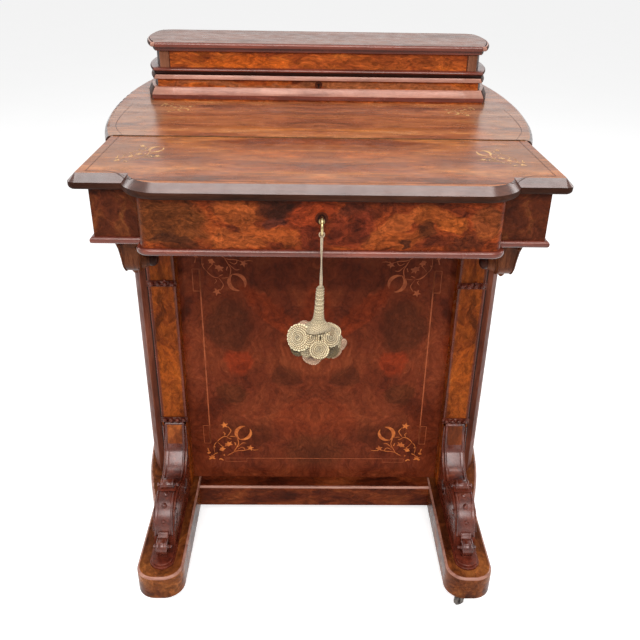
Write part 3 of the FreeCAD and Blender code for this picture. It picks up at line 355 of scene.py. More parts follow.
pilaster_wood = veneer("pilaster_burr", ((72, 30, 16), (132, 62, 28), (170, 86, 36), (200, 112, 50)), 0.3,
    scale=16.0, grain=(1, 1, 0.6), rings=5.0, pips=0.5, seed=2.1, mottle=0.5, spread=0.24, match=True,
    specular=0.08, gain=(0.74, 0.68, 0.5),
    patches=((0.246, 0.62, 0.03, 0.125, 0, (112, 48, 30), 0.8), (0.246, 0.33, 0.02, 0.05, 0, ORANGE, 0.4),
        (0.252, 0.43, 0.006, 0.05, 4, (84, 40, 18), 0.6)))
# What the veneers of the lid and the fixed top share.
WRITING_TOP = dict(scale=10.0, grain=(0.34, 1.5, 1), swirl=0.06, pips=0.3, mottle=0.42, spread=0.22,
                   rough=(0.16, 0.32), specular=0.22, face="xy", match=True, fine=150.0)
lid_wood = veneer("lid_burr", ((84, 44, 26), (136, 72, 40), (166, 96, 56), (190, 122, 76)), 0.3, seed=3.4,
    gain=(1.0, 0.96, 0.66), **WRITING_TOP,
    patches=((0.0, -0.13, 0.16, 0.02, 0, (124, 54, 30), 0.7), (0.07, -0.19, 0.08, 0.018, 10, ORANGE, 0.35),
        (0.03, -0.26, 0.12, 0.012, 0, (140, 70, 42), 0.6), (0.25, -0.2, 0.04, 0.1, 0, (160, 104, 68), 0.5)))
# The fixed top's first patch darkens it beside the stationery box: a painted reflection of the box's side.
top_wood = veneer("top_burr", ((80, 38, 24), (128, 60, 34), (158, 82, 46), (186, 108, 62)), 0.35, seed=5.2,
    gain=(1.28, 1.7, 1.8), **WRITING_TOP,
    patches=((0.28, -0.02, 0.06, 0.2, 0, (132, 92, 72), 0.4), (0.08, -0.06, 0.1, 0.02, 8, ORANGE, 0.5),
        (0.0, 0.0, 0.2, 0.02, 0, (132, 62, 38), 0.6), (0.29, -0.075, 0.035, 0.022, 0, (150, 82, 46), 0.8)))
box_wood = veneer("box_burr", ((70, 28, 16), (136, 60, 26), (180, 90, 34), (206, 116, 46)), 0.4, scale=15.0,
    grain=(0.6, 1, 1.5), rings=6.0, pips=0.9, seed=6.6, mottle=0.55, spread=0.24,
    patches=((-0.12, 0.785, 0.09, 0.016, 0, (196, 92, 28), 0.7),
        (0.02, 0.785, 0.06, 0.014, 0, (160, 76, 34), 0.6), (0.15, 0.785, 0.1, 0.014, 0, (168, 84, 38), 0.6),
        (0.0, 0.75, 0.3, 0.008, 0, (150, 92, 58), 0.75)))
console_wood = veneer("console_burr", ((42, 17, 13), (74, 30, 21), (98, 43, 29), (120, 60, 40)), 0.25,
    swirl=0.06, scale=16.0, grain=(1, 1, 0.5), rings=4.0, pips=0.2, seed=7.7, mottle=0.35, rough=(0.2, 0.32),
    specular=0.55, tint=(1, 0.86, 0.84))
knee_wood = veneer("knee_burr", ((72, 32, 18), (122, 58, 28), (154, 80, 36), (178, 100, 48)), 0.3,
    swirl=0.06, scale=16.0, grain=(1, 1, 0.5), rings=5.0, seed=8.2, mottle=0.45)
drawer_wood = veneer("drawer_burr", ((56, 24, 15), (104, 46, 26), (140, 68, 34), (172, 94, 48)), 0.4,
    scale=8.0, grain=(1, 0.8, 1), rings=8.0, swirl=0.07, seed=9.1, mottle=0.5)
base_wood = veneer("base_burr", ((52, 22, 15), (96, 42, 25), (132, 64, 36), (160, 88, 50)), 0.3, scale=14.0,
    grain=(0.5, 1, 1.4), rings=6.0, seed=5.5, mottle=0.45, specular=0.08, gain=(0.68, 0.6, 0.5))
foot_wood = veneer("foot_burr", ((58, 26, 16), (108, 54, 30), (150, 82, 42), (182, 108, 56)), 0.35,
    scale=13.0, grain=(1, 0.6, 1), rings=6.0, seed=3.9, mottle=0.5, face="xy", specular=0.08,
    gain=(0.66, 0.66, 0.6))
back_wood = straight("walnut_back", (62, 30, 19), (96, 50, 29), (122, 70, 42), 0, seed=6.0, rough=(0.4, 0.6))
carcase_wood = straight("walnut_upright", (60, 28, 20), (104, 54, 38), (138, 80, 58), 2, seed=1.0,
    specular=0.08, rough=(0.4, 0.6))
carved_wood = straight("walnut_carved", (50, 17, 12), (88, 34, 23), (120, 54, 36), 2, seed=4.0, worn=0.3,
                       scale=20.0, rough=(0.18, 0.32), specular=0.35, contrast=0.4)
moulding_wood = straight("walnut_moulding", (60, 24, 16), (100, 42, 30), (136, 68, 50), 0, seed=4.6, worn=0.3,
                         scale=20.0, rough=(0.18, 0.3), specular=0.6, contrast=0.3, tint=(1, 0.84, 0.78))
# Light pinkish walnut for bevels that face up, on the feet, the platform and the stationery box's trims:
# painted highlight, over a little real wear.
bevel_painted_highlight = straight("walnut_bevel_painted_highlight", (122, 76, 64), (168, 116, 98), (194, 146, 128), 0, seed=4.9, worn=0.3,
                      scale=20.0, rough=(0.2, 0.32), specular=0.3, contrast=0.4, tint=(1, 0.84, 0.78))
corbel_wood = straight("walnut_corbel", (46, 22, 14), (96, 50, 29), (136, 78, 46), 2, seed=7.1, worn=0.3,
                       scale=26.0, rough=(0.28, 0.4), specular=0.14, contrast=0.8)
# Near-black walnut for the corbels' knobs and pockets under the frieze: painted shade.
painted_shade_wood = straight("walnut_painted_shade", (30, 14, 10), (48, 22, 16), (70, 36, 26), 2, seed=7.4, rough=(0.3, 0.5),
                     specular=0.1)
box_top_wood = straight("box_top_walnut", (96, 58, 44), (128, 82, 64), (146, 100, 80), 0, seed=8.0, scale=9.0,
                        rough=(0.24, 0.4), specular=0.3, contrast=0.4)
edge_wood = straight("walnut_edge", (42, 22, 16), (64, 34, 25), (92, 54, 40), 0, seed=2.6, worn=0.3,
    scale=16.0, rough=(0.16, 0.26), specular=0.8, contrast=0.4, tint=(1.0, 0.92, 0.9))
# Dark walnut for faces turned down or sideways on the lid, the top and the stationery box: painted shade.
painted_shade_edge = straight("walnut_shaded", (32, 17, 12), (54, 30, 21), (78, 46, 34), 0, seed=2.9, rough=(0.4, 0.6),
                     specular=0.08)
stile_wood = straight("box_stile", (84, 50, 36), (124, 80, 58), (148, 100, 76), 2, seed=1.9, contrast=0.4)
pine = straight("pine", (170, 120, 72), (190, 142, 90), (204, 160, 108), 0, specular=0.1, contrast=0.3,
                rough=(0.5, 0.7), seed=5.0)
brass = metal("brass", (150, 116, 62), (84, 58, 34), seed=1)
dull_brass = metal("dull_brass", (84, 56, 34), (50, 32, 22), (0.4, 0.6), seed=5)
iron = metal("iron", (104, 98, 92), (58, 50, 46), (0.4, 0.65), seed=2)
bronze = metal("dark_bronze", (88, 42, 28), (58, 28, 20), (0.4, 0.6), seed=6)
steel = metal("steel", (196, 178, 132), (122, 98, 58), (0.2, 0.38), seed=3)
cotton = crochet("cotton", (255, 238, 196), (118, 78, 38), 0.31)
cotton_cord = crochet("cotton_twist", (250, 228, 194), (150, 116, 80), 0.1)
cotton_blush = crochet("cotton_blush", (250, 210, 176), (124, 76, 48), 0.3)
# Darker cotton for the rose's folds and heart, which lie in shade: painted shade.
cotton_painted_shade = crochet("cotton_painted_shade", (158, 134, 92), (44, 32, 16), 0.4)
panel_inlay = inlay("inlay_bright", (226, 128, 62), (166, 80, 38))
line_inlay = inlay("inlay_line", (176, 92, 54), (136, 64, 36))
lid_inlay = inlay("inlay_lid", (222, 176, 116), (170, 108, 62))
dark_line = inlay("inlay_dark", (84, 42, 26), (58, 28, 18))
# Near-black strips in gaps, grooves, the box's seam and keyholes: painted shadow.
shadow_line = inlay("painted_shadow_dark", (34, 12, 8), (20, 8, 6))


# ---- finishes of the pieces that come from the CAD


def finish_node(name, material):
    item = nodes[name]
    item.data.materials.clear()
    item.data.materials.append(material)
    for polygon in item.data.polygons:
        polygon.material_index = 0


def finish_tilted(item, material, low, high, sideways=0.0):
    """Gives a finish of their own to the faces whose normals have z between low and high and enough x."""
    item.data.materials.append(material)
    for polygon in item.data.polygons:
        if low < polygon.normal.z < high and abs(polygon.normal.x) >= sideways:
            polygon.material_index = len(item.data.materials) - 1


def drawers(part):
    return " ".join(f"drawer_{k}_{part}" for k in (1, 2, 3, 4))


FINISHES = {
    panel_wood: "front_panel",
    frieze_wood: "breakfront_frieze",
    wing_wood: "writing_box_front writing_box_side_left writing_box_side_right",
    pilaster_wood: "pilaster_left pilaster_right",
    lid_wood: "writing_lid",
    top_wood: "fixed_top",
    box_wood: "stationery_base stationery_lid_frame",
    console_wood: "console_left console_right",
    carcase_wood: "corner_stiles",
    drawer_wood: "dummy_drawer_fronts " + drawers("front"),
    back_wood: "back_panel writing_box_back",
    base_wood: "platform_board",
    moulding_wood: "writing_box_bottom",
    box_top_wood: "stationery_lid_top",
    foot_wood: "foot_left foot_right",
    carved_wood: "corbel_left corbel_right bead_bands console_pads dummy_drawer_knobs " + drawers("knob"),
    pine: "dust_boards " + drawers("box"),
    brass: "stationery_hinge_fixed stationery_hinge_moving writing_box_lock",
    dull_brass: "lid_hinge_fixed lid_hinge_moving",
    bronze: "escutcheons",
    iron: " ".join(name for name in nodes if name.startswith("castor_")),
    steel: "key",
    cotton: "tassel_cord tassel_stem tassel_rose",
}
for material, names in FINISHES.items():
    for name in names.split():
        finish_node(name, material)
# The lid's and top's edges turned down or sideways are painted darker as shade; their chamfers get the glossy
# edge finish.
for name in ("writing_lid", "fixed_top"):
    finish_tilted(nodes[name], edge_wood, 0.2, 0.9)
    finish_tilted(nodes[name], painted_shade_edge, -0.97, 0.2)
# The upward bevels of the feet and the platform's nosing are painted light as highlight.
for name in ("foot_left", "foot_right", "platform_board"):
    finish_tilted(nodes[name], bevel_painted_highlight, 0.3, 0.97)
finish_tilted(nodes["stationery_lid_top"], moulding_wood, -0.9, 0.97)
finish_tilted(nodes["dust_boards"], carcase_wood, -0.9, 0.9, 0.6)
# The sides of the stationery box are painted darker as shade.
for name in nodes:
    if name.startswith("stationery"):
        finish_tilted(nodes[name], painted_shade_edge, -0.9, 0.9, 0.6)


# ---- making pieces

SHARP = radians(42)    # edges sharper than this aren't smoothed


def piece(name, bm, material, body, smooth=True):
    mesh = bpy.data.meshes.new(name)
    for edge in bm.edges:
        if len(edge.link_faces) == 2 and edge.calc_face_angle() > SHARP:
            edge.smooth = False
    bm.to_mesh(mesh)
    bm.free()
    item = link(bpy.data.objects.new(name, mesh))
    mesh.materials.append(material)
    for polygon in mesh.polygons:
        polygon.use_smooth = smooth
    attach(item, body)
    return item


def skin(bm, grid, closed=False, uv=None):
    """Joins rows of points with faces, closed when each row goes all the way round; uv gives the stitch
    coordinates of row i, column j."""
    rows = [[bm.verts.new(p) for p in row] for row in grid]
    count = len(rows[0])
    layer = bm.loops.layers.uv.get("stitch") or bm.loops.layers.uv.new("stitch")
    for i in range(len(rows) - 1):
        for j in range(count - (0 if closed else 1)):
            corners = ((i, j), (i, j + 1), (i + 1, j + 1), (i + 1, j))
            face = bm.faces.new([rows[a][b % count] for a, b in corners])
            if uv:
                for loop, (a, b) in zip(face.loops, corners):
                    loop[layer].uv = uv(a, b)
    return rows


def prism(bm, x, outline, half):
    """A solid of an outline in the plane of y and z; half gives its half width at a place of the outline."""
    rings = [[bm.verts.new(at(x + way * half(y, z), y, z)) for y, z in outline] for way in (-1, 1)]
    for i in range(len(outline)):
        j = (i + 1) % len(outline)
        bm.faces.new((rings[0][i], rings[0][j], rings[1][j], rings[1][i]))
    bm.faces.new(rings[0][::-1])
    bm.faces.new(rings[1])


def block(bm, side, xs, ys, zs):
    """A box between two values of each axis, on one side of the middle."""
    verts = [bm.verts.new(at(side * x, y, z)) for x in xs for y in ys for z in zs]
    for corners in ((0, 1, 3, 2), (4, 6, 7, 5), (0, 4, 5, 1), (2, 3, 7, 6), (0, 2, 6, 4), (1, 5, 7, 3)):
        bm.faces.new([verts[c] for c in corners])


def frame_of(direction):
    """Two directions across a third."""
    direction = direction.normalized()
    side = direction.cross(Vector((0.13, 0.21, 0.97)))
    if side.length < 0.05:
        side = direction.cross(Vector((1, 0, 0)))
    side.normalize()
    return side, direction.cross(side).normalized()


def tube(bm, path, radius, around, row=0.0016, stitch=6):
    """A round strand along a path in metres; radius is a number, or a function of the share of the way."""
    grid = []
    side, other = frame_of(path[1] - path[0])
    for i, point in enumerate(path):
        ahead = (path[min(i + 1, len(path) - 1)] - path[max(i - 1, 0)]).normalized()
        side = (side - ahead * side.dot(ahead)).normalized()
        other = ahead.cross(side).normalized()
        r = radius(i / (len(path) - 1)) if callable(radius) else radius
        grid.append([point + (side * cos(a) + other * sin(a)) * r for a in circle(around)])
    step = sum((b - a).length for a, b in zip(path, path[1:])) / (len(path) - 1)
    rows = skin(bm, grid, closed=True, uv=lambda a, b: (b * stitch / around, a * step / row))
    bm.faces.new(rows[0][::-1])
    bm.faces.new(rows[-1])


def smooth_line(points, steps):
    """Points of a smooth line through the given ones (Catmull-Rom)."""
    points = [Vector(p) for p in points]
    ends = [points[0] * 2 - points[1], *points, points[-1] * 2 - points[-2]]
    out = []
    for i in range(1, len(ends) - 2):
        a, b, c, d = ends[i - 1:i + 3]
        for k in range(steps):
            t = k / steps
            out.append(0.5 * (2 * b + (c - a) * t + (2 * a - 5 * b + 4 * c - d) * t * t
                              + (3 * b - a - 3 * c + d) * t ** 3))
    out.append(points[-1])
    return out


def smooth_pairs(points, steps):
    """The same for points of a plane."""
    return [(p.x, p.y) for p in smooth_line([(*p, 0) for p in points], steps)]


def turned(bm, start, direction, profile, around=20):
    """A turned shape: profile gives (distance along the direction, radius)."""
    direction = Vector(direction).normalized()
    side, other = frame_of(direction)
    spokes = [side * cos(a) + other * sin(a) for a in circle(around)]
    skin(bm, [[at(*(Vector(start) + direction * far + spoke * max(r, 0.02))) for spoke in spokes]
              for far, r in profile], closed=True)


def bead(bm, x, y, z, radius, flat=1.0):
    """A small round bead, part sunk in what it sits on."""
    rows = []
    for i in range(9):
        tilt = pi * (i + 0.03) / 8.06
        rows.append([at(x + radius * sin(tilt) * cos(a), y - radius * flat * cos(tilt),
                        z + radius * sin(tilt) * sin(a)) for a in circle(18)])
    skin(bm, rows, closed=True)


def bend(start, end, radius, hollow, count=14):
    """Points of an arc in a plane; hollow arcs bow to the left of the way along."""
    a, b = Vector(start), Vector(end)
    chord = b - a
    half = chord.length / 2
    rise = sqrt(max(radius * radius - half * half, 0))
    normal = Vector((-chord.y, chord.x)).normalized() * (1 if hollow else -1)
    centre = (a + b) / 2 + normal * rise
    first = atan2(a.y - centre.y, a.x - centre.x)
    turn = atan2(b.y - centre.y, b.x - centre.x) - first
    turn = (turn + pi) % (2 * pi) - pi
    return [(centre.x + radius * cos(first + angle), centre.y + radius * sin(first + angle))
            for angle in arc(turn, count)]


# ---- inlays; put turns two coordinates of a surface into a point


def stroke(bm, put, points, wide):
    """A flat line of inlay; through three points or more it is smooth, and narrower towards its ends."""
    curved = len(points) > 2
    line = smooth_line([(*p, 0) for p in points], 6) if curved else [Vector((*p, 0)) for p in points]
    left, right_side = [], []
    for i, point in enumerate(line):
        ahead = (line[min(i + 1, len(line) - 1)] - line[max(i - 1, 0)]).normalized()
        share = i / (len(line) - 1)
        half = wide / 2 * (0.25 + 0.75 * sin(pi * share) ** 0.5) if curved else wide / 2
        across = Vector((-ahead.y, ahead.x, 0)) * half
        left.append(bm.verts.new(put(*(point + across)[:2])))
        right_side.append(bm.verts.new(put(*(point - across)[:2])))
    for i in range(len(line) - 1):
        bm.faces.new((left[i], right_side[i], right_side[i + 1], left[i + 1]))


def rectangle(bm, put, u0, u1, w0, w1, wide):
    for ends in (((u0, w0), (u0, w1)), ((u1, w0), (u1, w1)), ((u0, w0), (u1, w0)), ((u0, w1), (u1, w1))):
        stroke(bm, put, ends, wide)


def leaf(bm, put, outline):
    """A flat leaf or petal from its outline."""
    bm.faces.new([bm.verts.new(put(*p)) for p in outline])


def star(bm, put, x, y, size, points=5, turn=90.0):
    """A small star-shaped flower."""
    middle = bm.verts.new(put(x, y))
    rim = []
    for k in range(points * 2):
        a = radians(turn + 180 * k / points)
        r = size if k % 2 == 0 else size * 0.42
        rim.append(bm.verts.new(put(x + r * cos(a), y + r * sin(a))))
    for k in range(len(rim)):
        bm.faces.new((middle, rim[k], rim[(k + 1) % len(rim)]))


def crescent(bm, put, x, y, outer, start, end, thick):
    """Part of a ring, thick in its middle and pointed at its ends, from one angle to another."""
    rows = []
    for share in arc(1, 24):
        a = radians(start + (end - start) * share)
        inner = outer - thick * sin(pi * share) ** 0.8
        rows.append([bm.verts.new(put(x + r * cos(a), y + r * sin(a))) for r in (outer, inner)])
    for near, far in zip(rows, rows[1:]):
        if (near[0].co - near[1].co).length >= 1e-7:
            bm.faces.new((near[0], far[0], far[1], near[1]))


# The points of each stem from the corner, and its width.
STEMS = ((((9, 12), (14, 17), (19, 19)), 1.5), (((13, 19), (12.2, 32), (14.4, 39), (18.7, 44)), 1.1),
    (((18.7, 44), (23, 49.5), (30.2, 55), (37.4, 56)), 1.5),
    (((37.4, 56), (42.4, 63.5), (44.6, 69), (42.4, 74), (38.8, 78.5)), 1.4),
    (((31.7, 58), (33.8, 61.7), (30.2, 66.4)), 1.3), (((42.4, 56.5), (47, 56.4), (53.2, 55)), 1.3),
    (((37.4, 54), (42, 51.4), (45.3, 50.5)), 1.2), (((20.1, 43), (25.9, 35.5), (30.2, 31.8)), 1.1),
    (((53.2, 57), (56.1, 50.5), (57.6, 41), (54.7, 33.6), (48.2, 21.5)), 1.5),
    (((54.7, 31.8), (61.2, 38.3), (66, 42), (71.9, 41)), 1.4),
    (((56.1, 28), (63.3, 31.8), (67.6, 29), (68, 24.5)), 1.3),
    (((48.2, 21.5), (56, 24), (66, 24.5), (76, 28)), 1.4), (((81, 27), (86, 25.6), (93.5, 26.5)), 1.2),
    (((50.4, 43), (52.5, 36.5)), 1.6), (((48.9, 21.5), (44.6, 18.7), (36, 13)), 1.6),
    (((20.1, 3.7), (24, 5), (28.8, 1.5)), 2.6), (((2.9, 21.5), (0.7, 30)), 2.0),)
LEAVES = (((31.7, 33), (33.5, 37), (32.5, 40.5), (36.5, 41), (38, 45.5), (40.5, 42.5), (45.5, 45.5),
        (43.5, 40.8), (47, 37.5), (42, 36.5), (39.5, 33.5), (36.5, 35)),
    ((21.6, 25), (24, 29), (22.5, 31), (26, 30.5), (28.5, 34), (30, 30), (34, 29.5), (30.5, 26.5), (29, 23),
        (25, 24)), ((9, 6), (3.5, 3), (1, 5), (4.5, 7.5), (2, 10.5), (6, 10), (7.5, 14.5), (9.5, 10.5),
        (13, 12), (11.5, 8), (14, 5), (10, 4.5)),
    ((1.5, 16), (-1, 18.5), (1, 21), (3, 23.5), (4, 20.5), (6.5, 21.5), (5, 18)),)


def motif(bm, put):
    """The flowering spray of a corner, with its crescent ring."""
    for points, wide in STEMS:
        stroke(bm, put, points, wide)
    for outline in LEAVES:
        leaf(bm, put, outline)
    star(bm, put, 33.5, 81, 7.5, 5, 100)
    star(bm, put, 78.4, 30.5, 7, 5, 80)
    star(bm, put, 13, 33, 3.2, 3)
    star(bm, put, 30.2, 14, 2.4, 4)
    crescent(bm, put, 66.9, 63.6, 16, 70, 250, 6.5)
    crescent(bm, put, 66.9, 63.6, 15.5, -120, 40, 6)


def upright(y, side=1):
    """The put of a face that looks to the front: across and up."""
    return lambda u, w: at(side * u, y, w)


def flat(z):
    """The put of a top: across and back."""
    return lambda u, w: at(u, w, z)


PANEL = 286 - FILM
STRING, STRING_OUT = 189.5, 201         # the upright stringing, and how far out its closed ends reach
STRING_FOOT, STRING_HEAD = 148, 493
END = 39                                # the height of a closed end
SILL, SILL_Z = 125, 114                 # the level stringing along the foot: half its length, and its height
bright = bmesh.new()
dull = bmesh.new()
for side in (-1, 1):
    motif(bright, lambda u, w: at(side * (196.5 - u), PANEL, 107 + w))
    motif(dull, lambda u, w: at(side * (196.5 - u), PANEL, 534 - w))
    put = upright(PANEL, side)
    rectangle(dull, put, STRING, STRING_OUT, STRING_FOOT, STRING_FOOT + END, 1.0)
    rectangle(dull, put, STRING, STRING_OUT, STRING_HEAD, STRING_HEAD - END, 1.0)
    stroke(dull, put, ((STRING, STRING_FOOT), (STRING, STRING_HEAD)), 2.0)
    rectangle(dull, put, 164, SILL, SILL_Z - 8, SILL_Z, 0.7)
stroke(dull, upright(PANEL), ((-SILL, SILL_Z), (SILL, SILL_Z)), 1.3)
piece("panel_sprays", bright, panel_inlay, "carcase", smooth=False)
piece("panel_stringing", dull, line_inlay, "carcase", smooth=False)

# Sprays and border lines of the writing lid and the fixed top.
TOP = 724 + FILM
BORDER = ((271, 203), (271, 35), (244, 35), (228, 24), (218, 11), (205, 3), (180, 0))
REAR_BORDER = ((268, 206), (290, 262), (298, 330), (300, 420))
lines = bmesh.new()
sprays = bmesh.new()
rear_lines = bmesh.new()
rear_sprays = bmesh.new()
for side in (-1, 1):
    motif(sprays, lambda u, w: at(side * (250 - u * 0.62), 74 + w * 0.95, TOP))
    motif(rear_sprays, lambda u, w: at(side * (252 - u * 0.6), 428 - w * 0.8, TOP))
    border = [(side * x, y) for x, y in BORDER]
    for ends in zip(border, border[1:]):
        stroke(lines, flat(TOP), ends, 0.9)
    stroke(rear_lines, flat(TOP), [(side * x, y) for x, y in REAR_BORDER], 0.9)
stroke(lines, flat(TOP), ((-180, 0), (180, 0)), 0.9)
piece("lid_lines", lines, dark_line, "writing_lid", smooth=False)
piece("lid_sprays", sprays, lid_inlay, "writing_lid", smooth=False)
piece("top_lines", rear_lines, dark_line, "carcase", smooth=False)
piece("top_sprays", rear_sprays, lid_inlay, "carcase", smooth=False)


# ---- pilasters

BAND_HALF = 23.4                  # half the width of a beaded band, whose fillets stand 0.2 past it
BEAD_STEP = 10.8
UPPER_BAND, LOWER_BAND = 474, 213.5
EDGE, QUIRK = 20.4, 17.8          # from the middle line
bm = bmesh.new()
strips = bmesh.new()
gap_shadows = bmesh.new()
for side in (-1, 1):
    band = (LINE - BAND_HALF, LINE + BAND_HALF)
    fillet = (band[0] - 0.2, band[1] + 0.2)
    # The bands and their beads; the last bead of each is small and sits at its head or foot.
    for z, small in ((UPPER_BAND, 9.8), (LOWER_BAND, -0.8)):
        block(bm, side, band, (260.4, FACE), (z + 0.4, z + 8.6))
        block(bm, side, fillet, (259.6, FACE), (z - 0.4, z + 0.5))
        block(bm, side, fillet, (259.6, FACE), (z + 8.5, z + 9.4))
        for k in range(4):
            bead(bm, side * LINE + (k - 1.5) * BEAD_STEP, 259.2, z + 4.5, 4.1, 1.1)
        bead(bm, side * LINE + BEAD_STEP / 2, 260.2, z + small, 2.6)
    # Half-round edges and their quirks, above and between the bands.
    low = LOWER_BAND + 9.1
    for ends in ((low, UPPER_BAND - 0.6), (UPPER_BAND + 9.6, HEAD)):
        for x in (LINE - EDGE, LINE + EDGE):
            skin(strips, [[at(side * (x + 1.6 * cos(a)), FACE - 1.5 * sin(a), z)
                           for a in arc(pi, 8)] for z in ends])
    for x in (LINE - QUIRK, LINE + QUIRK):
        stroke(strips, upright(FACE - 0.1), ((side * x, low), (side * x, HEAD)), 0.8)
    # A near-black strip in the gap beside each pilaster: painted shadow.
    stroke(gap_shadows, upright(FACE - 0.2), ((side * 268.9, 79), (side * 268.9, 569)), 2.0)
beads = piece("pilaster_beads", bm, carved_wood, "carcase")
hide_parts("bead_bands")
piece("pilaster_mouldings", strips, carved_wood, "carcase")
piece("pilaster_gap_shadows", gap_shadows, shadow_line, "carcase", smooth=False)


# ---- consoles


def strap(bm, x, path, half, thick=5.0, lift=0.7, edge=1.3):
    """A scrolled strap along a path of (y, z), with a raised bead on each side; half gives its half width."""
    grid = []
    for i, (y, z) in enumerate(path):
        y0, z0 = path[max(i - 1, 0)]
        y1, z1 = path[min(i + 1, len(path) - 1)]
        ahead = Vector((y1 - y0, z1 - z0)).normalized()
        out = Vector((ahead.y, -ahead.x))
        h = half(y, z)
        row = [(-h, -thick)]
        for k in range(21):
            t = -1 + k / 10
            bump = edge * sqrt(max(0, 1 - ((abs(t) - 0.9) / 0.1) ** 2)) if abs(t) > 0.8 else 0
            quirk = 0.5 if 0.78 < abs(t) < 0.81 else 0
            row.append((h * t, lift + bump + 0.5 * (1 - t * t) - quirk))
        row.append((h, -thick))
        grid.append([at(x + across, y + out.x * up, z + out.y * up) for across, up in row])
    rows = skin(bm, grid)
    bm.faces.new(rows[0][::-1])
    bm.faces.new(rows[-1])


def volute(bm, x, y, z, radius, out, turns, start, hand=1, wide=2.6):
    """A carved spiral in relief on a side face; out is which way the face looks along x."""
    path = []
    for share in arc(1, int(turns * 26)):
        a = radians(start) + hand * 2 * pi * turns * share
        r = radius * (1 - 0.78 * share)
        path.append(at(x, y + r * cos(a), z + r * sin(a)))
    tube(bm, path, lambda s: (wide / 2 * (1 - 0.5 * s)) * MM, 8)
    turned(bm, (x, y, z), (out, 0, 0), ((0, 2.6), (1.2, 2.4), (1.9, 1.6), (2.2, 0.3)), 14)


def console_half(y, z):
    """Half the width of a console's strap, which narrows towards its hump."""
    return 14.2 + 2.4 * min(1.0, max(0.0, (y - 140) / 70))


def pad(bm, x, half, nose, low, high):
    """A long D-ended board with a rounded upper edge."""
    grid = []
    for inset, z in ((0, low), (0, high - 1.1), (0.25, high - 0.5), (0.7, high - 0.12), (1.3, high)):
        radius = half - inset
        row = [(x - radius, FACE)]
        row += [(x - radius * cos(a), nose + half - radius * sin(a)) for a in arc(pi, 28)]
        row.append((x + radius, FACE))
        grid.append([at(px, py, z) for px, py in row])
    bm.faces.new(skin(bm, grid)[-1])


FOOT = 78       # the upper face of the pads
KNEE = 212.9    # where the knee meets the pilaster
SIDE = 2.8      # how far the carving of a side stands past the strap
# How far each ring of a roll is from its end, and how much off its radius.
ROLL_END = ((0, 4.5), (0.2, 1.6), (1.0, 0.4), (2.4, 0), (3.4, 0.9), (4.0, 0.2))
knee_path = smooth_pairs([(259.5, KNEE), (256, 201), (252.5, 187), (249.8, 175), (248, 167), (245.5, 161.5),
        (241, 156), (236, 150.5), (231, 145.3), (225.5, 140.4), (219, 136.4), (211, 134), (201, 134),
        (191, 137.5), (180, 144)], 3)
hump_path = bend((151.5, 150.6), (104.5, 109), 52, True, 18) + [(103, 105), (101.5, 101)]
tongue = bend((103, 109), (80, 101), 26, False, 10)
side_path = smooth_pairs([(255, 208), (255, 176), (250, 158), (238, 143), (220, 131), (200, 129), (180, 137),
                          (162, 142), (136, 138), (116, 122), (107, 106)], 5)
carving = bmesh.new()
boards = bmesh.new()
veneered = bmesh.new()
for side in (-1, 1):
    x = LINE * side
    strap(carving, x, knee_path, console_half, thick=6)
    strap(carving, x, hump_path, console_half, thick=6)
    # The solid between the strap and the pad, and the wider board behind it.
    prism(boards, x, [(FACE, FOOT), (FACE, KNEE), *knee_path, (166, 153), *hump_path, (101.5, FOOT)],
          lambda y, z: console_half(y, z) - 0.6)
    inner_knee, inner_hump = ([(y + 3.4, z - 3.4) for y, z in path] for path in (knee_path, hump_path))
    prism(boards, x, [(FACE, FOOT), (FACE, KNEE), *inner_knee, (166, 147), *inner_hump, (104, FOOT)],
          lambda y, z: console_half(y, z) + 2.6)
    # The burr face of the knee, let in between the strap's edges.
    skin(veneered, [[at(x + across, y - 1.3, z) for across in (-12.6, 12.6)]
                    for y, z in knee_path if 172 < z < 210])
    # The upper roll, the lower one, and the small turned ends of both.
    for y, z, radius, half, reach in ((166, 153.5, 9.6, 11.2, 16.5), (87, 92.4, 13.6, 8.6, 13.8)):
        turned(carving, (x - half, y, z), (1, 0, 0), [(far, radius - less) for far, less in ROLL_END]
               + [(half * 2 - far, radius - less) for far, less in ROLL_END[::-1]], 36)
        end = reach - half
        for way in (-1, 1):
            turned(carving, (x + way * (half - 1), y, z), (way, 0, 0),
                   ((0, 4.6), (1.5, 4.6), (2.2, 2.6), (end - 2, 2.4), (end - 0.6, 3.6), (end + 0.8, 3.2),
                    (end + 1.8, 1.6), (end + 2.1, 0.2)), 18)
    # The tongue that runs down into the lower roll.
    strap(carving, x, tongue, lambda y, z: 8.2, thick=4, lift=0.3, edge=0.9)
    prism(boards, x, [(104, FOOT), (104, 108), *tongue, (80, FOOT)], lambda y, z: 7.8)
    # The studs on the hump, the spirals of the sides and the bead along them.
    for y, z, r in ((144.5, 150.9, 3.4), (125, 144.6, 3.6), (109.5, 124.6, 2.8)):
        a = atan2(z - 98, 140 - y)
        turned(carving, (x, y, z), (0, -cos(a), sin(a)),
               ((-1, r + 0.9), (0.5, r + 0.8), (0.9, r), (1.9, r * 0.9), (2.7, r * 0.6), (3.1, 0.2)), 16)
    for way in (-1, 1):
        volute(carving, x + way * (console_half(131, 0) + SIDE), 131, 119, 17, way, 1.7, 95)
        volute(carving, x + way * (console_half(205, 0) + SIDE), 208, 112, 15, way, 1.5, 60, -1, 2.4)
        tube(carving, [at(x + way * (console_half(y, z) + SIDE), y, z) for y, z in side_path], 1.2 * MM, 8)
console = piece("console_carving", carving, console_wood, "carcase")
bmesh.ops.recalc_face_normals(boards, faces=boards.faces)
piece("console_boards", boards, carved_wood, "carcase")
piece("console_knees", veneered, knee_wood, "carcase", smooth=False)
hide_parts("console_left", "console_right")

bm = bmesh.new()
for side in (-1, 1):
    pad(bm, side * LINE, 19.5, 58, 71, 74.6)
    pad(bm, side * LINE, 16.8, 61, 74.4, 78.2)
pads = piece("console_pad_boards", bm, carved_wood, "carcase")
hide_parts("console_pads")


# ---- corbels


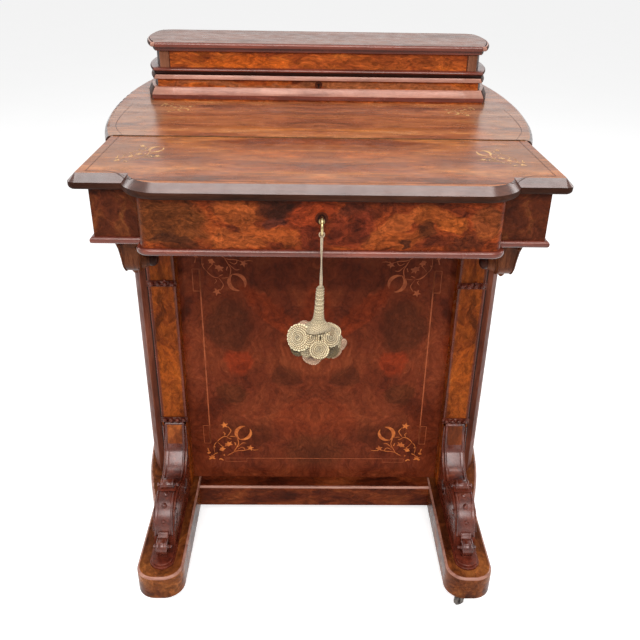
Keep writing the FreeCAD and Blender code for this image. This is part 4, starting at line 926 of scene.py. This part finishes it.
def corbel_half(y, z):
    """Half the width of a corbel, which tapers from its head to its volute."""
    for low, high, narrow, wide in ((614, 640, 17.0, 22.5), (600, 614, 12.4, 17.0), (560, 600, 10.6, 12.4)):
        if z > low:
            return narrow + (wide - narrow) * (z - low) / (high - low)
    return 10.6


SCROLL_Y, SCROLL_Z, SCROLL = 113, 590, 21    # the middle of a corbel's volute and its radius
KNOB_Z = SCROLL_Z - 7
DROP_Z = SCROLL_Z - 19
front = [(84.4, 635.8), (86, 628), (88.6, 618), (91, 606)]
front += [(SCROLL_Y - SCROLL * cos(a), SCROLL_Z - SCROLL * sin(a)) for a in arc(1.5, 12)]
arch = [(126, 573), (133, 581), (136, 592), (146, 604), (162, 613), (180, 616), (200, 613), (222, 604),
    (244, 594), (262, 590)]
bm = bmesh.new()
dark = bmesh.new()
for side in (-1, 1):
    x = LINE * side
    prism(bm, x, [(FACE, HEAD), (84.4, HEAD), *front[1:], *arch], corbel_half)
    strap(bm, x, front, corbel_half, thick=5, lift=0.6, edge=1.4)
    for way in (-1, 1):
        volute(bm, x + way * 11.4, SCROLL_Y, SCROLL_Z, 16, way, 1.8, 180, 1, 3.0)
    # The collar, and the knob on the inner side painted near-black as shade under the frieze.
    turned(bm, (x - side * 9, SCROLL_Y, KNOB_Z), (-side, 0, 0),
           ((0, 13), (5, 12.4), (9, 10.6), (11, 9.2), (12.5, 9.0)), 26)
    turned(dark, (x - side * 20.5, SCROLL_Y, KNOB_Z), (-side, 0, 0),
           ((-1, 7.4), (0, 8.6), (1.5, 9.4), (4, 9.8), (7, 9.2), (9.4, 7.0), (10.8, 3.6), (11.2, 0.3)), 26)
    # Two carved pockets drawn as flat dark ovals of painted shadow, three studs and the turned drop.
    for z, high, shift in ((629, 3.4, -7), (617, 5.4, 9)):
        leaf(dark, lambda u, w: at(x + side * shift + u, 84.4 + (636 - z) * 0.25 - 1.7 - (w - z) * 0.25, w),
             [(6.2 * cos(a), z + high * sin(a)) for a in circle(20)])
    for way, z in ((1, 622), (1, 607), (-1, 612)):
        bead(bm, x - side * way * (corbel_half(0, z) - 4.2), 88.2 - (z - 607) * 0.22, z, 2.7)
    turned(bm, (x, SCROLL_Y, DROP_Z), (0, 0, -1),
           ((-3, 5.6), (0, 5.8), (1.2, 4.2), (2.4, 5.0), (5.5, 4.2), (8, 2.2), (9.2, 0.2)), 20)
    # The moulding at the head of the corbel.
    path = [(x - 23, 250), (x - 23, 86), (x - 21, 83), (x + 21, 83), (x + 23, 86), (x + 23, 250)]
    tube(bm, [at(px, py, 633.8) for px, py in path], 1.9 * MM, 10)
bmesh.ops.recalc_face_normals(bm, faces=bm.faces)
corbels = piece("corbel_carving", bm, corbel_wood, "carcase")
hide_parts("corbel_left", "corbel_right")
bmesh.ops.recalc_face_normals(dark, faces=dark.faces)
piece("corbel_painted_shade", dark, painted_shade_wood, "carcase")


# ---- stationery box

BOX_FRONT, BOX_HALF = 457, 258    # the front face and the half width there
BOX_REAR, REAR_HALF = 632.0, 270  # the same at the back
BOX_RADIUS = 319.0                # of the bowed sides
STILE_X = (243.0, 243.6, 257.4, BOX_HALF)    # a corner stile of the lid, with its chamfers
STILE_Z = (773, 773.5, 800.5, 801)

bm = bmesh.new()
lines = bmesh.new()
for side in (-1, 1):
    skin(bm, [[at(side * x, BOX_FRONT - (0.9 if x in STILE_X[1:3] and z in STILE_Z[1:3] else 0.2), z)
               for x in STILE_X] for z in STILE_Z])
    stroke(lines, upright(BOX_FRONT - 0.3), [(side * (STILE_X[0] - 0.8), z) for z in STILE_Z[::3]], 1.6)
piece("box_stiles", bm, stile_wood, "stationery_lid", smooth=False)
piece("box_stile_lines", lines, dark_line, "stationery_lid", smooth=False)


def run_round(bm, profile):
    """A moulding mitred round the front and sides; profile is (past the sides, before the front, z)."""
    grid = []
    for grown, ahead, z in profile:
        half, front = BOX_HALF + grown, BOX_FRONT - ahead
        bow = bend((REAR_HALF + grown, BOX_REAR), (half, front), BOX_RADIUS, False, 12)
        middle = [(-half + half * 2 * k / 16, front) for k in range(1, 16)]
        grid.append([at(px, py, z) for px, py in [(-px, py) for px, py in bow] + middle + bow[::-1]])
    skin(bm, grid)


# The base and top trims are painted light as highlight, and the seam strip is a painted shadow.
TRIMS = (
    ("box_base_trim", bevel_painted_highlight, "carcase", (
        ((15.2, 8.8, 733.6), (15.0, 8.6, 735.0), (11.2, 6.3, 743.4), (10.4, 5.4, 745.0), (5.2, 4.2, 745.6)),
        ((5.2, 4.2, 758.0), (9.2, 9.2, 758.5), (9.4, 9.4, 759.4), (7.6, 7.2, 765.0)))),
    ("box_foot_trim", moulding_wood, "carcase", (((15.4, 9.0, 727.3), (15.4, 9.0, 733.6)),)),
    ("box_top_trim", bevel_painted_highlight, "stationery_lid", (
        ((9.4, 9.4, 807.8), (10.8, 10.8, 808.6), (11.4, 11.4, 810.4), (11.2, 11.2, 812.6),
         (10.2, 10.2, 814.4), (8.6, 8.6, 815.0)),)),
    ("box_lid_trim", moulding_wood, "stationery_lid", (
        ((8.9, 8.2, 770.6), (9.8, 9.2, 771.4), (10.1, 9.5, 772.6), (9.8, 9.1, 773.8), (9.0, 8.1, 774.8),
         (7.8, 6.8, 775.5), (4.0, 3.0, 775.9), (0.1, 0.1, 776.1)),)),
    ("box_seam_shadow", shadow_line, "stationery_lid", (
        ((7.0, 6.4, 765.0), (7.3, 7.2, 765.4), (8.3, 7.3, 768.2), (8.4, 7.4, 770.8)),)),
)
for name, material, body, profiles in TRIMS:
    bm = bmesh.new()
    for profile in profiles:
        run_round(bm, profile)
    made = piece(name, bm, material, body)
    # The sides of the trims are painted darker as shade.
    if material != shadow_line:
        finish_tilted(made, painted_shade_edge, -1.1, 1.1, 0.5)

# The painted shadow of the groove between the lid's top and its torus, and the keyholes painted dark as the
# shade in them.
bm = bmesh.new()
stroke(bm, flat(815.1), ((-250, 447.6), (250, 447.6)), 1.1)
piece("box_top_groove_shadow", bm, shadow_line, "stationery_lid", smooth=False)
hole = bmesh.new()
rim = bmesh.new()
outline = [(3.1 * cos(radians(a - 60)), 751.5 + 3.1 * sin(radians(a - 60)))
           for a in arc(300, 20)] + [(-2.6, 744.6), (2.6, 744.6)]
leaf(hole, upright(452.7), outline)
tube(rim, [at(u * 1.22, 452.6, 750.6 + (w - 750.6) * 1.16) for u, w in [*outline, outline[0]]], 0.45 * MM, 6)
piece("box_keyhole", hole, shadow_line, "carcase", smooth=False)
piece("box_keyhole_edge", rim, dull_brass, "carcase")
bm = bmesh.new()
leaf(bm, upright(KEYHOLE[1]), [(4.9 * cos(a), KEYHOLE[2] + 5.2 * sin(a)) for a in circle(32)])
piece("front_keyhole_shadow", bm, shadow_line, "carcase", smooth=False)


# ---- key tassel

HANGS = BOW[1]                                     # the tassel hangs below the ring's lowest point
TWIST = dict(around=10, row=0.0012, stitch=4)      # the stitches of the cord, in metres and round it
cord_route = bpy.data.curves.new("route", "CURVE")
cord_route.dimensions = "3D"
spline = cord_route.splines.new("NURBS")
route = [at(0, HANGS, z) for z in (671.7, 656, 640, 624, 609)]
spline.points.add(len(route) - 1)
for point, place in zip(spline.points, route):
    point.co = (*place, 1)
spline.order_u = 3
spline.use_endpoint_u = True
spline.resolution_u = 10
route_object = link(bpy.data.objects.new("route", cord_route))
bpy.context.view_layer.update()
line = bpy.data.meshes.new_from_object(route_object.evaluated_get(bpy.context.evaluated_depsgraph_get()))
path = [vertex.co.copy() for vertex in line.vertices]
bpy.data.objects.remove(route_object)
bpy.data.meshes.remove(line)

# Two twisted strands along the route, in metres.
bm = bmesh.new()
for side in (-1, 1):
    strand = []
    for i, point in enumerate(path):
        share = i / (len(path) - 1)
        turn = 0.35 + share * 2.6
        spread = 0.00076 + 0.0002 * sin(share * 9)
        strand.append(point + Vector((cos(turn), sin(turn), 0)) * spread * side)
    tube(bm, strand, 0.00078, **TWIST)
cord = piece("tassel_strands", bm, cotton_cord, "tassel")
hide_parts("tassel_cord")

# The loop goes round the ring's wire, so it clears it as the key turns.
bm = bmesh.new()
tube(bm, [at(*BOW) + Vector((sin(a) * 0.0028, 0.0003 * sin(a), -0.0004 - cos(a) * 0.0031))
          for a in arc(2 * pi, 24)], 0.00068, **TWIST)
loop = piece("tassel_loop", bm, cotton_cord, "tassel")

# The crocheted stem: rings of stitches, wider at the foot, which spreads over the rose.
bm = bmesh.new()
profile = smooth_pairs([(0.6, 610.6), (3.2, 609.6), (4.2, 607), (4.5, 600), (4.8, 590), (5.2, 580),
        (5.8, 572), (7.0, 567), (9.5, 562.5), (14, 558.5), (17, 556)], 14)
grid, around = [], 60
for i, (radius, z) in enumerate(profile):
    down = i / (len(profile) - 1)
    rib = 0.62 * cos(2 * pi * (610 - z) / 3.1) if down < 0.8 else 0
    grid.append([])
    for a in circle(around):
        r = (radius + rib) * (1 + 0.06 * sin(3 * a + 1.3) * down ** 2)
        dip = max(0, down - 0.8) * 6 * sin(2 * a + 0.4)
        grid[-1].append(at(r * cos(a) - 2.6 * min(1, down * 1.4), HANGS + r * sin(a) * 0.92, z - dip))
skin(bm, grid, closed=True, uv=lambda a, b: (b * 15 / around, a * 0.36))
stem = piece("tassel_stem_stitches", bm, cotton, "tassel")
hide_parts("tassel_stem")

ROW = 2.3      # a ring of stitches
THICK = 1.6    # of a petal


def petal(bm, centre, facing, radius, cup, spin):
    """A round crocheted petal: a cupped disc worked in rings, with a scalloped and ruffled edge."""
    normal = Vector(facing).normalized()
    side, other = frame_of(normal)
    rings, around = 16, 96
    for face in (1, -1):
        grid = []
        for i in range(rings + 1):
            share = max(i / rings, 0.02)
            r = radius * share
            ridge = 0.42 * cos(2 * pi * r / ROW)
            thick = THICK / 2 * (1 - 0.5 * (share ** 6))
            row = []
            for a in circle(around):
                edge = 1 + (0.07 * abs(sin(18 * a / 2)) if i == rings else 0)
                lift = -cup * radius * share ** 2 + 0.06 * radius * share ** 2 * sin(3 * a + spin)
                p = (side * cos(a + spin) + other * sin(a + spin)) * r * edge
                p += normal * (lift + face * (thick + ridge))
                row.append(at(*(Vector(centre) + p)))
            grid.append(row)
        if face < 0:
            grid.reverse()
        skin(bm, grid, closed=True,
             uv=lambda a, b: (b * 30 / around, (a if face > 0 else rings - a) * radius / rings / ROW))
    bmesh.ops.remove_doubles(bm, verts=bm.verts, dist=1e-7)


ROSE = (0, HANGS, 537)
PETALS = {
    # x, z and y from the rose's middle, radius, facing x, y, z, cup
    "petals": (cotton, (
        (-1.3, 1.0, -19, 11.4, 0.05, -1.0, 0.1, -0.14), (-26.5, 11, -9, 15.5, -0.4, -0.8, 0.45, 0.3),
        (12.4, 13.5, -13, 10.5, 0.15, -0.75, 0.65, 0.3), (14.5, 19.5, -3, 11, 0.35, -0.35, 0.9, 0.25),
        (-17.6, -7, -12, 7.6, -0.35, -0.9, 0.1, 0.3), (23, 3, -6, 10, 0.7, -0.65, 0.3, 0.3),
        (-12.5, 12, -11, 11, -0.2, -0.8, 0.6, 0.2), (0, 14, 3, 15, 0, 0.2, 1, 0.1),
        (-27, 4, 1, 13, -0.8, 0.2, 0.5, 0.2))),
    "blush": (cotton_blush, (
        (-21, 16, 5, 10, -0.3, -0.6, 0.7, 0.25), (28, -1.5, -3, 7, 0.7, -0.7, 0.1, 0.3),
        (-10, -17.5, -7, 11.5, -0.15, -0.95, 0.0, 0.3), (19.5, -11, -6, 8.5, 0.5, -0.85, 0.0, 0.3))),
    # The folds turned down and away are in the darker cotton: painted shade.
    "shaded_folds": (cotton_painted_shade, (
        (13.5, -3, -15, 11, 0.35, -0.93, 0.1, 0.3), (-29, -7, -6, 10, -0.5, -0.85, 0.0, 0.3),
        (-9, -6, -12, 9, -0.3, -0.95, 0.0, 0.3), (22, 6, 0, 12, 0.9, -0.3, 0.2, 0.3),
        (5, -14, -6, 12, 0.2, -0.8, -0.6, 0.3))),
    "back": (cotton, (
        (0, -4, 13, 13, 0.0, 1, 0.0, 0.28), (-19, 8, 8, 13, -0.7, 0.7, 0.4, 0.28),
        (18, 6, 8, 12, 0.7, 0.7, 0.4, 0.28), (-17, -13, 7, 11, -0.6, 0.7, -0.6, 0.28),
        (14, -12, 7, 11, 0.6, 0.7, -0.6, 0.28), (0, 16, 9, 12, 0, 0.6, 0.8, 0.28),
        (-3, -19, 5, 11, 0, 0.5, -0.9, 0.28))),
}
for group, (material, petals) in PETALS.items():
    bm = bmesh.new()
    for k, (x, z, deep, size, nx, ny, nz, cup) in enumerate(petals):
        petal(bm, (ROSE[0] + x, ROSE[1] + deep, ROSE[2] + z), (nx, ny, nz), size, cup, k * 1.3)
    made = piece("tassel_rose_" + group, bm, material, "tassel")
    if group == "petals":
        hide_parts("tassel_rose")
# The heart that the petals are sewn to, in the darker cotton of painted shade.
bm = bmesh.new()
grid = []
for i in range(17):
    tilt = pi * (i + 0.02) / 16.04
    wide, deep, up = 24 * sin(tilt), 11 * sin(tilt), 17 * cos(tilt)
    grid.append([at(ROSE[0] - 4 + wide * cos(a), ROSE[1] + deep * sin(a), ROSE[2] + up)
                 for a in circle(40)])
skin(bm, grid, closed=True, uv=lambda a, b: (b, a * 2.0))
piece("tassel_rose_heart", bm, cotton_painted_shade, "tassel")


# ---- stage and light, in metres

FLOOR = 60.0
bm = bmesh.new()
bm.faces.new([bm.verts.new((x * FLOOR, y * FLOOR, 0)) for x, y in ((-1, -1), (1, -1), (1, 1), (-1, 1))])
mesh = bpy.data.meshes.new("floor")
bm.to_mesh(mesh)
bm.free()
floor = link(bpy.data.objects.new("floor", mesh))


def rays_seen(tree):
    """1 for rays that come from the camera, or by way of gloss or glass."""
    rays = tree.nodes.new("ShaderNodeLightPath")
    total = rays.outputs["Is Camera Ray"]
    for name in ("Is Glossy Ray", "Is Transmission Ray"):
        join = tree.nodes.new("ShaderNodeMath")
        join.operation = "MAXIMUM"
        tree.links.new(total, join.inputs[0])
        tree.links.new(rays.outputs[name], join.inputs[1])
        total = join.outputs[0]
    return total


pale = Finish("pale_floor")
mesh.materials.append(pale.finish(pale.ramp(pale.noise(pale.place(), 3.0), [(0.3, 0.84), (0.7, 0.86)]), 0.9,
                                  specular=0.0))
pale.shader.inputs["Emission Color"].default_value = (1, 1, 1, 1)
pale.feed(pale.shader.inputs["Emission Strength"], pale.times(rays_seen(pale.tree), 0.68))

world = bpy.data.worlds.new("studio")
bpy.context.scene.world = world
world.use_nodes = True
background = world.node_tree.nodes["Background"]
strength = world.node_tree.nodes.new("ShaderNodeMapRange")
strength.inputs["To Min"].default_value = 0.25
strength.inputs["To Max"].default_value = 1.0
world.node_tree.links.new(rays_seen(world.node_tree), strength.inputs["Value"])
world.node_tree.links.new(strength.outputs[0], background.inputs["Strength"])
background.inputs["Color"].default_value = (1, 1, 1, 1)


def softbox(name, place, target, wide, tall, power):
    lamp = bpy.data.lights.new(name, "AREA")
    lamp.shape = "RECTANGLE"
    lamp.size = wide
    lamp.size_y = tall
    lamp.energy = power
    item = link(bpy.data.objects.new(name, lamp))
    item.location = place
    item.rotation_mode = "QUATERNION"
    item.rotation_quaternion = (Vector(target) - Vector(place)).to_track_quat("-Z", "Y")


softbox("front", (0.0, -2.0, 1.95), (0, -0.1, 0.5), 2.0, 0.9, 50)
softbox("overhead", (0.0, -0.76, 2.4), (0, -0.3, 0.7), 2.3, 0.5, 19)
softbox("left", (-2.7, 0.9, 1.5), (0, 0.1, 0.45), 1.2, 1.2, 16)
softbox("right", (2.7, 0.9, 1.5), (0, 0.1, 0.45), 1.2, 1.2, 16)

bpy.context.scene.view_settings.view_transform = "Standard"
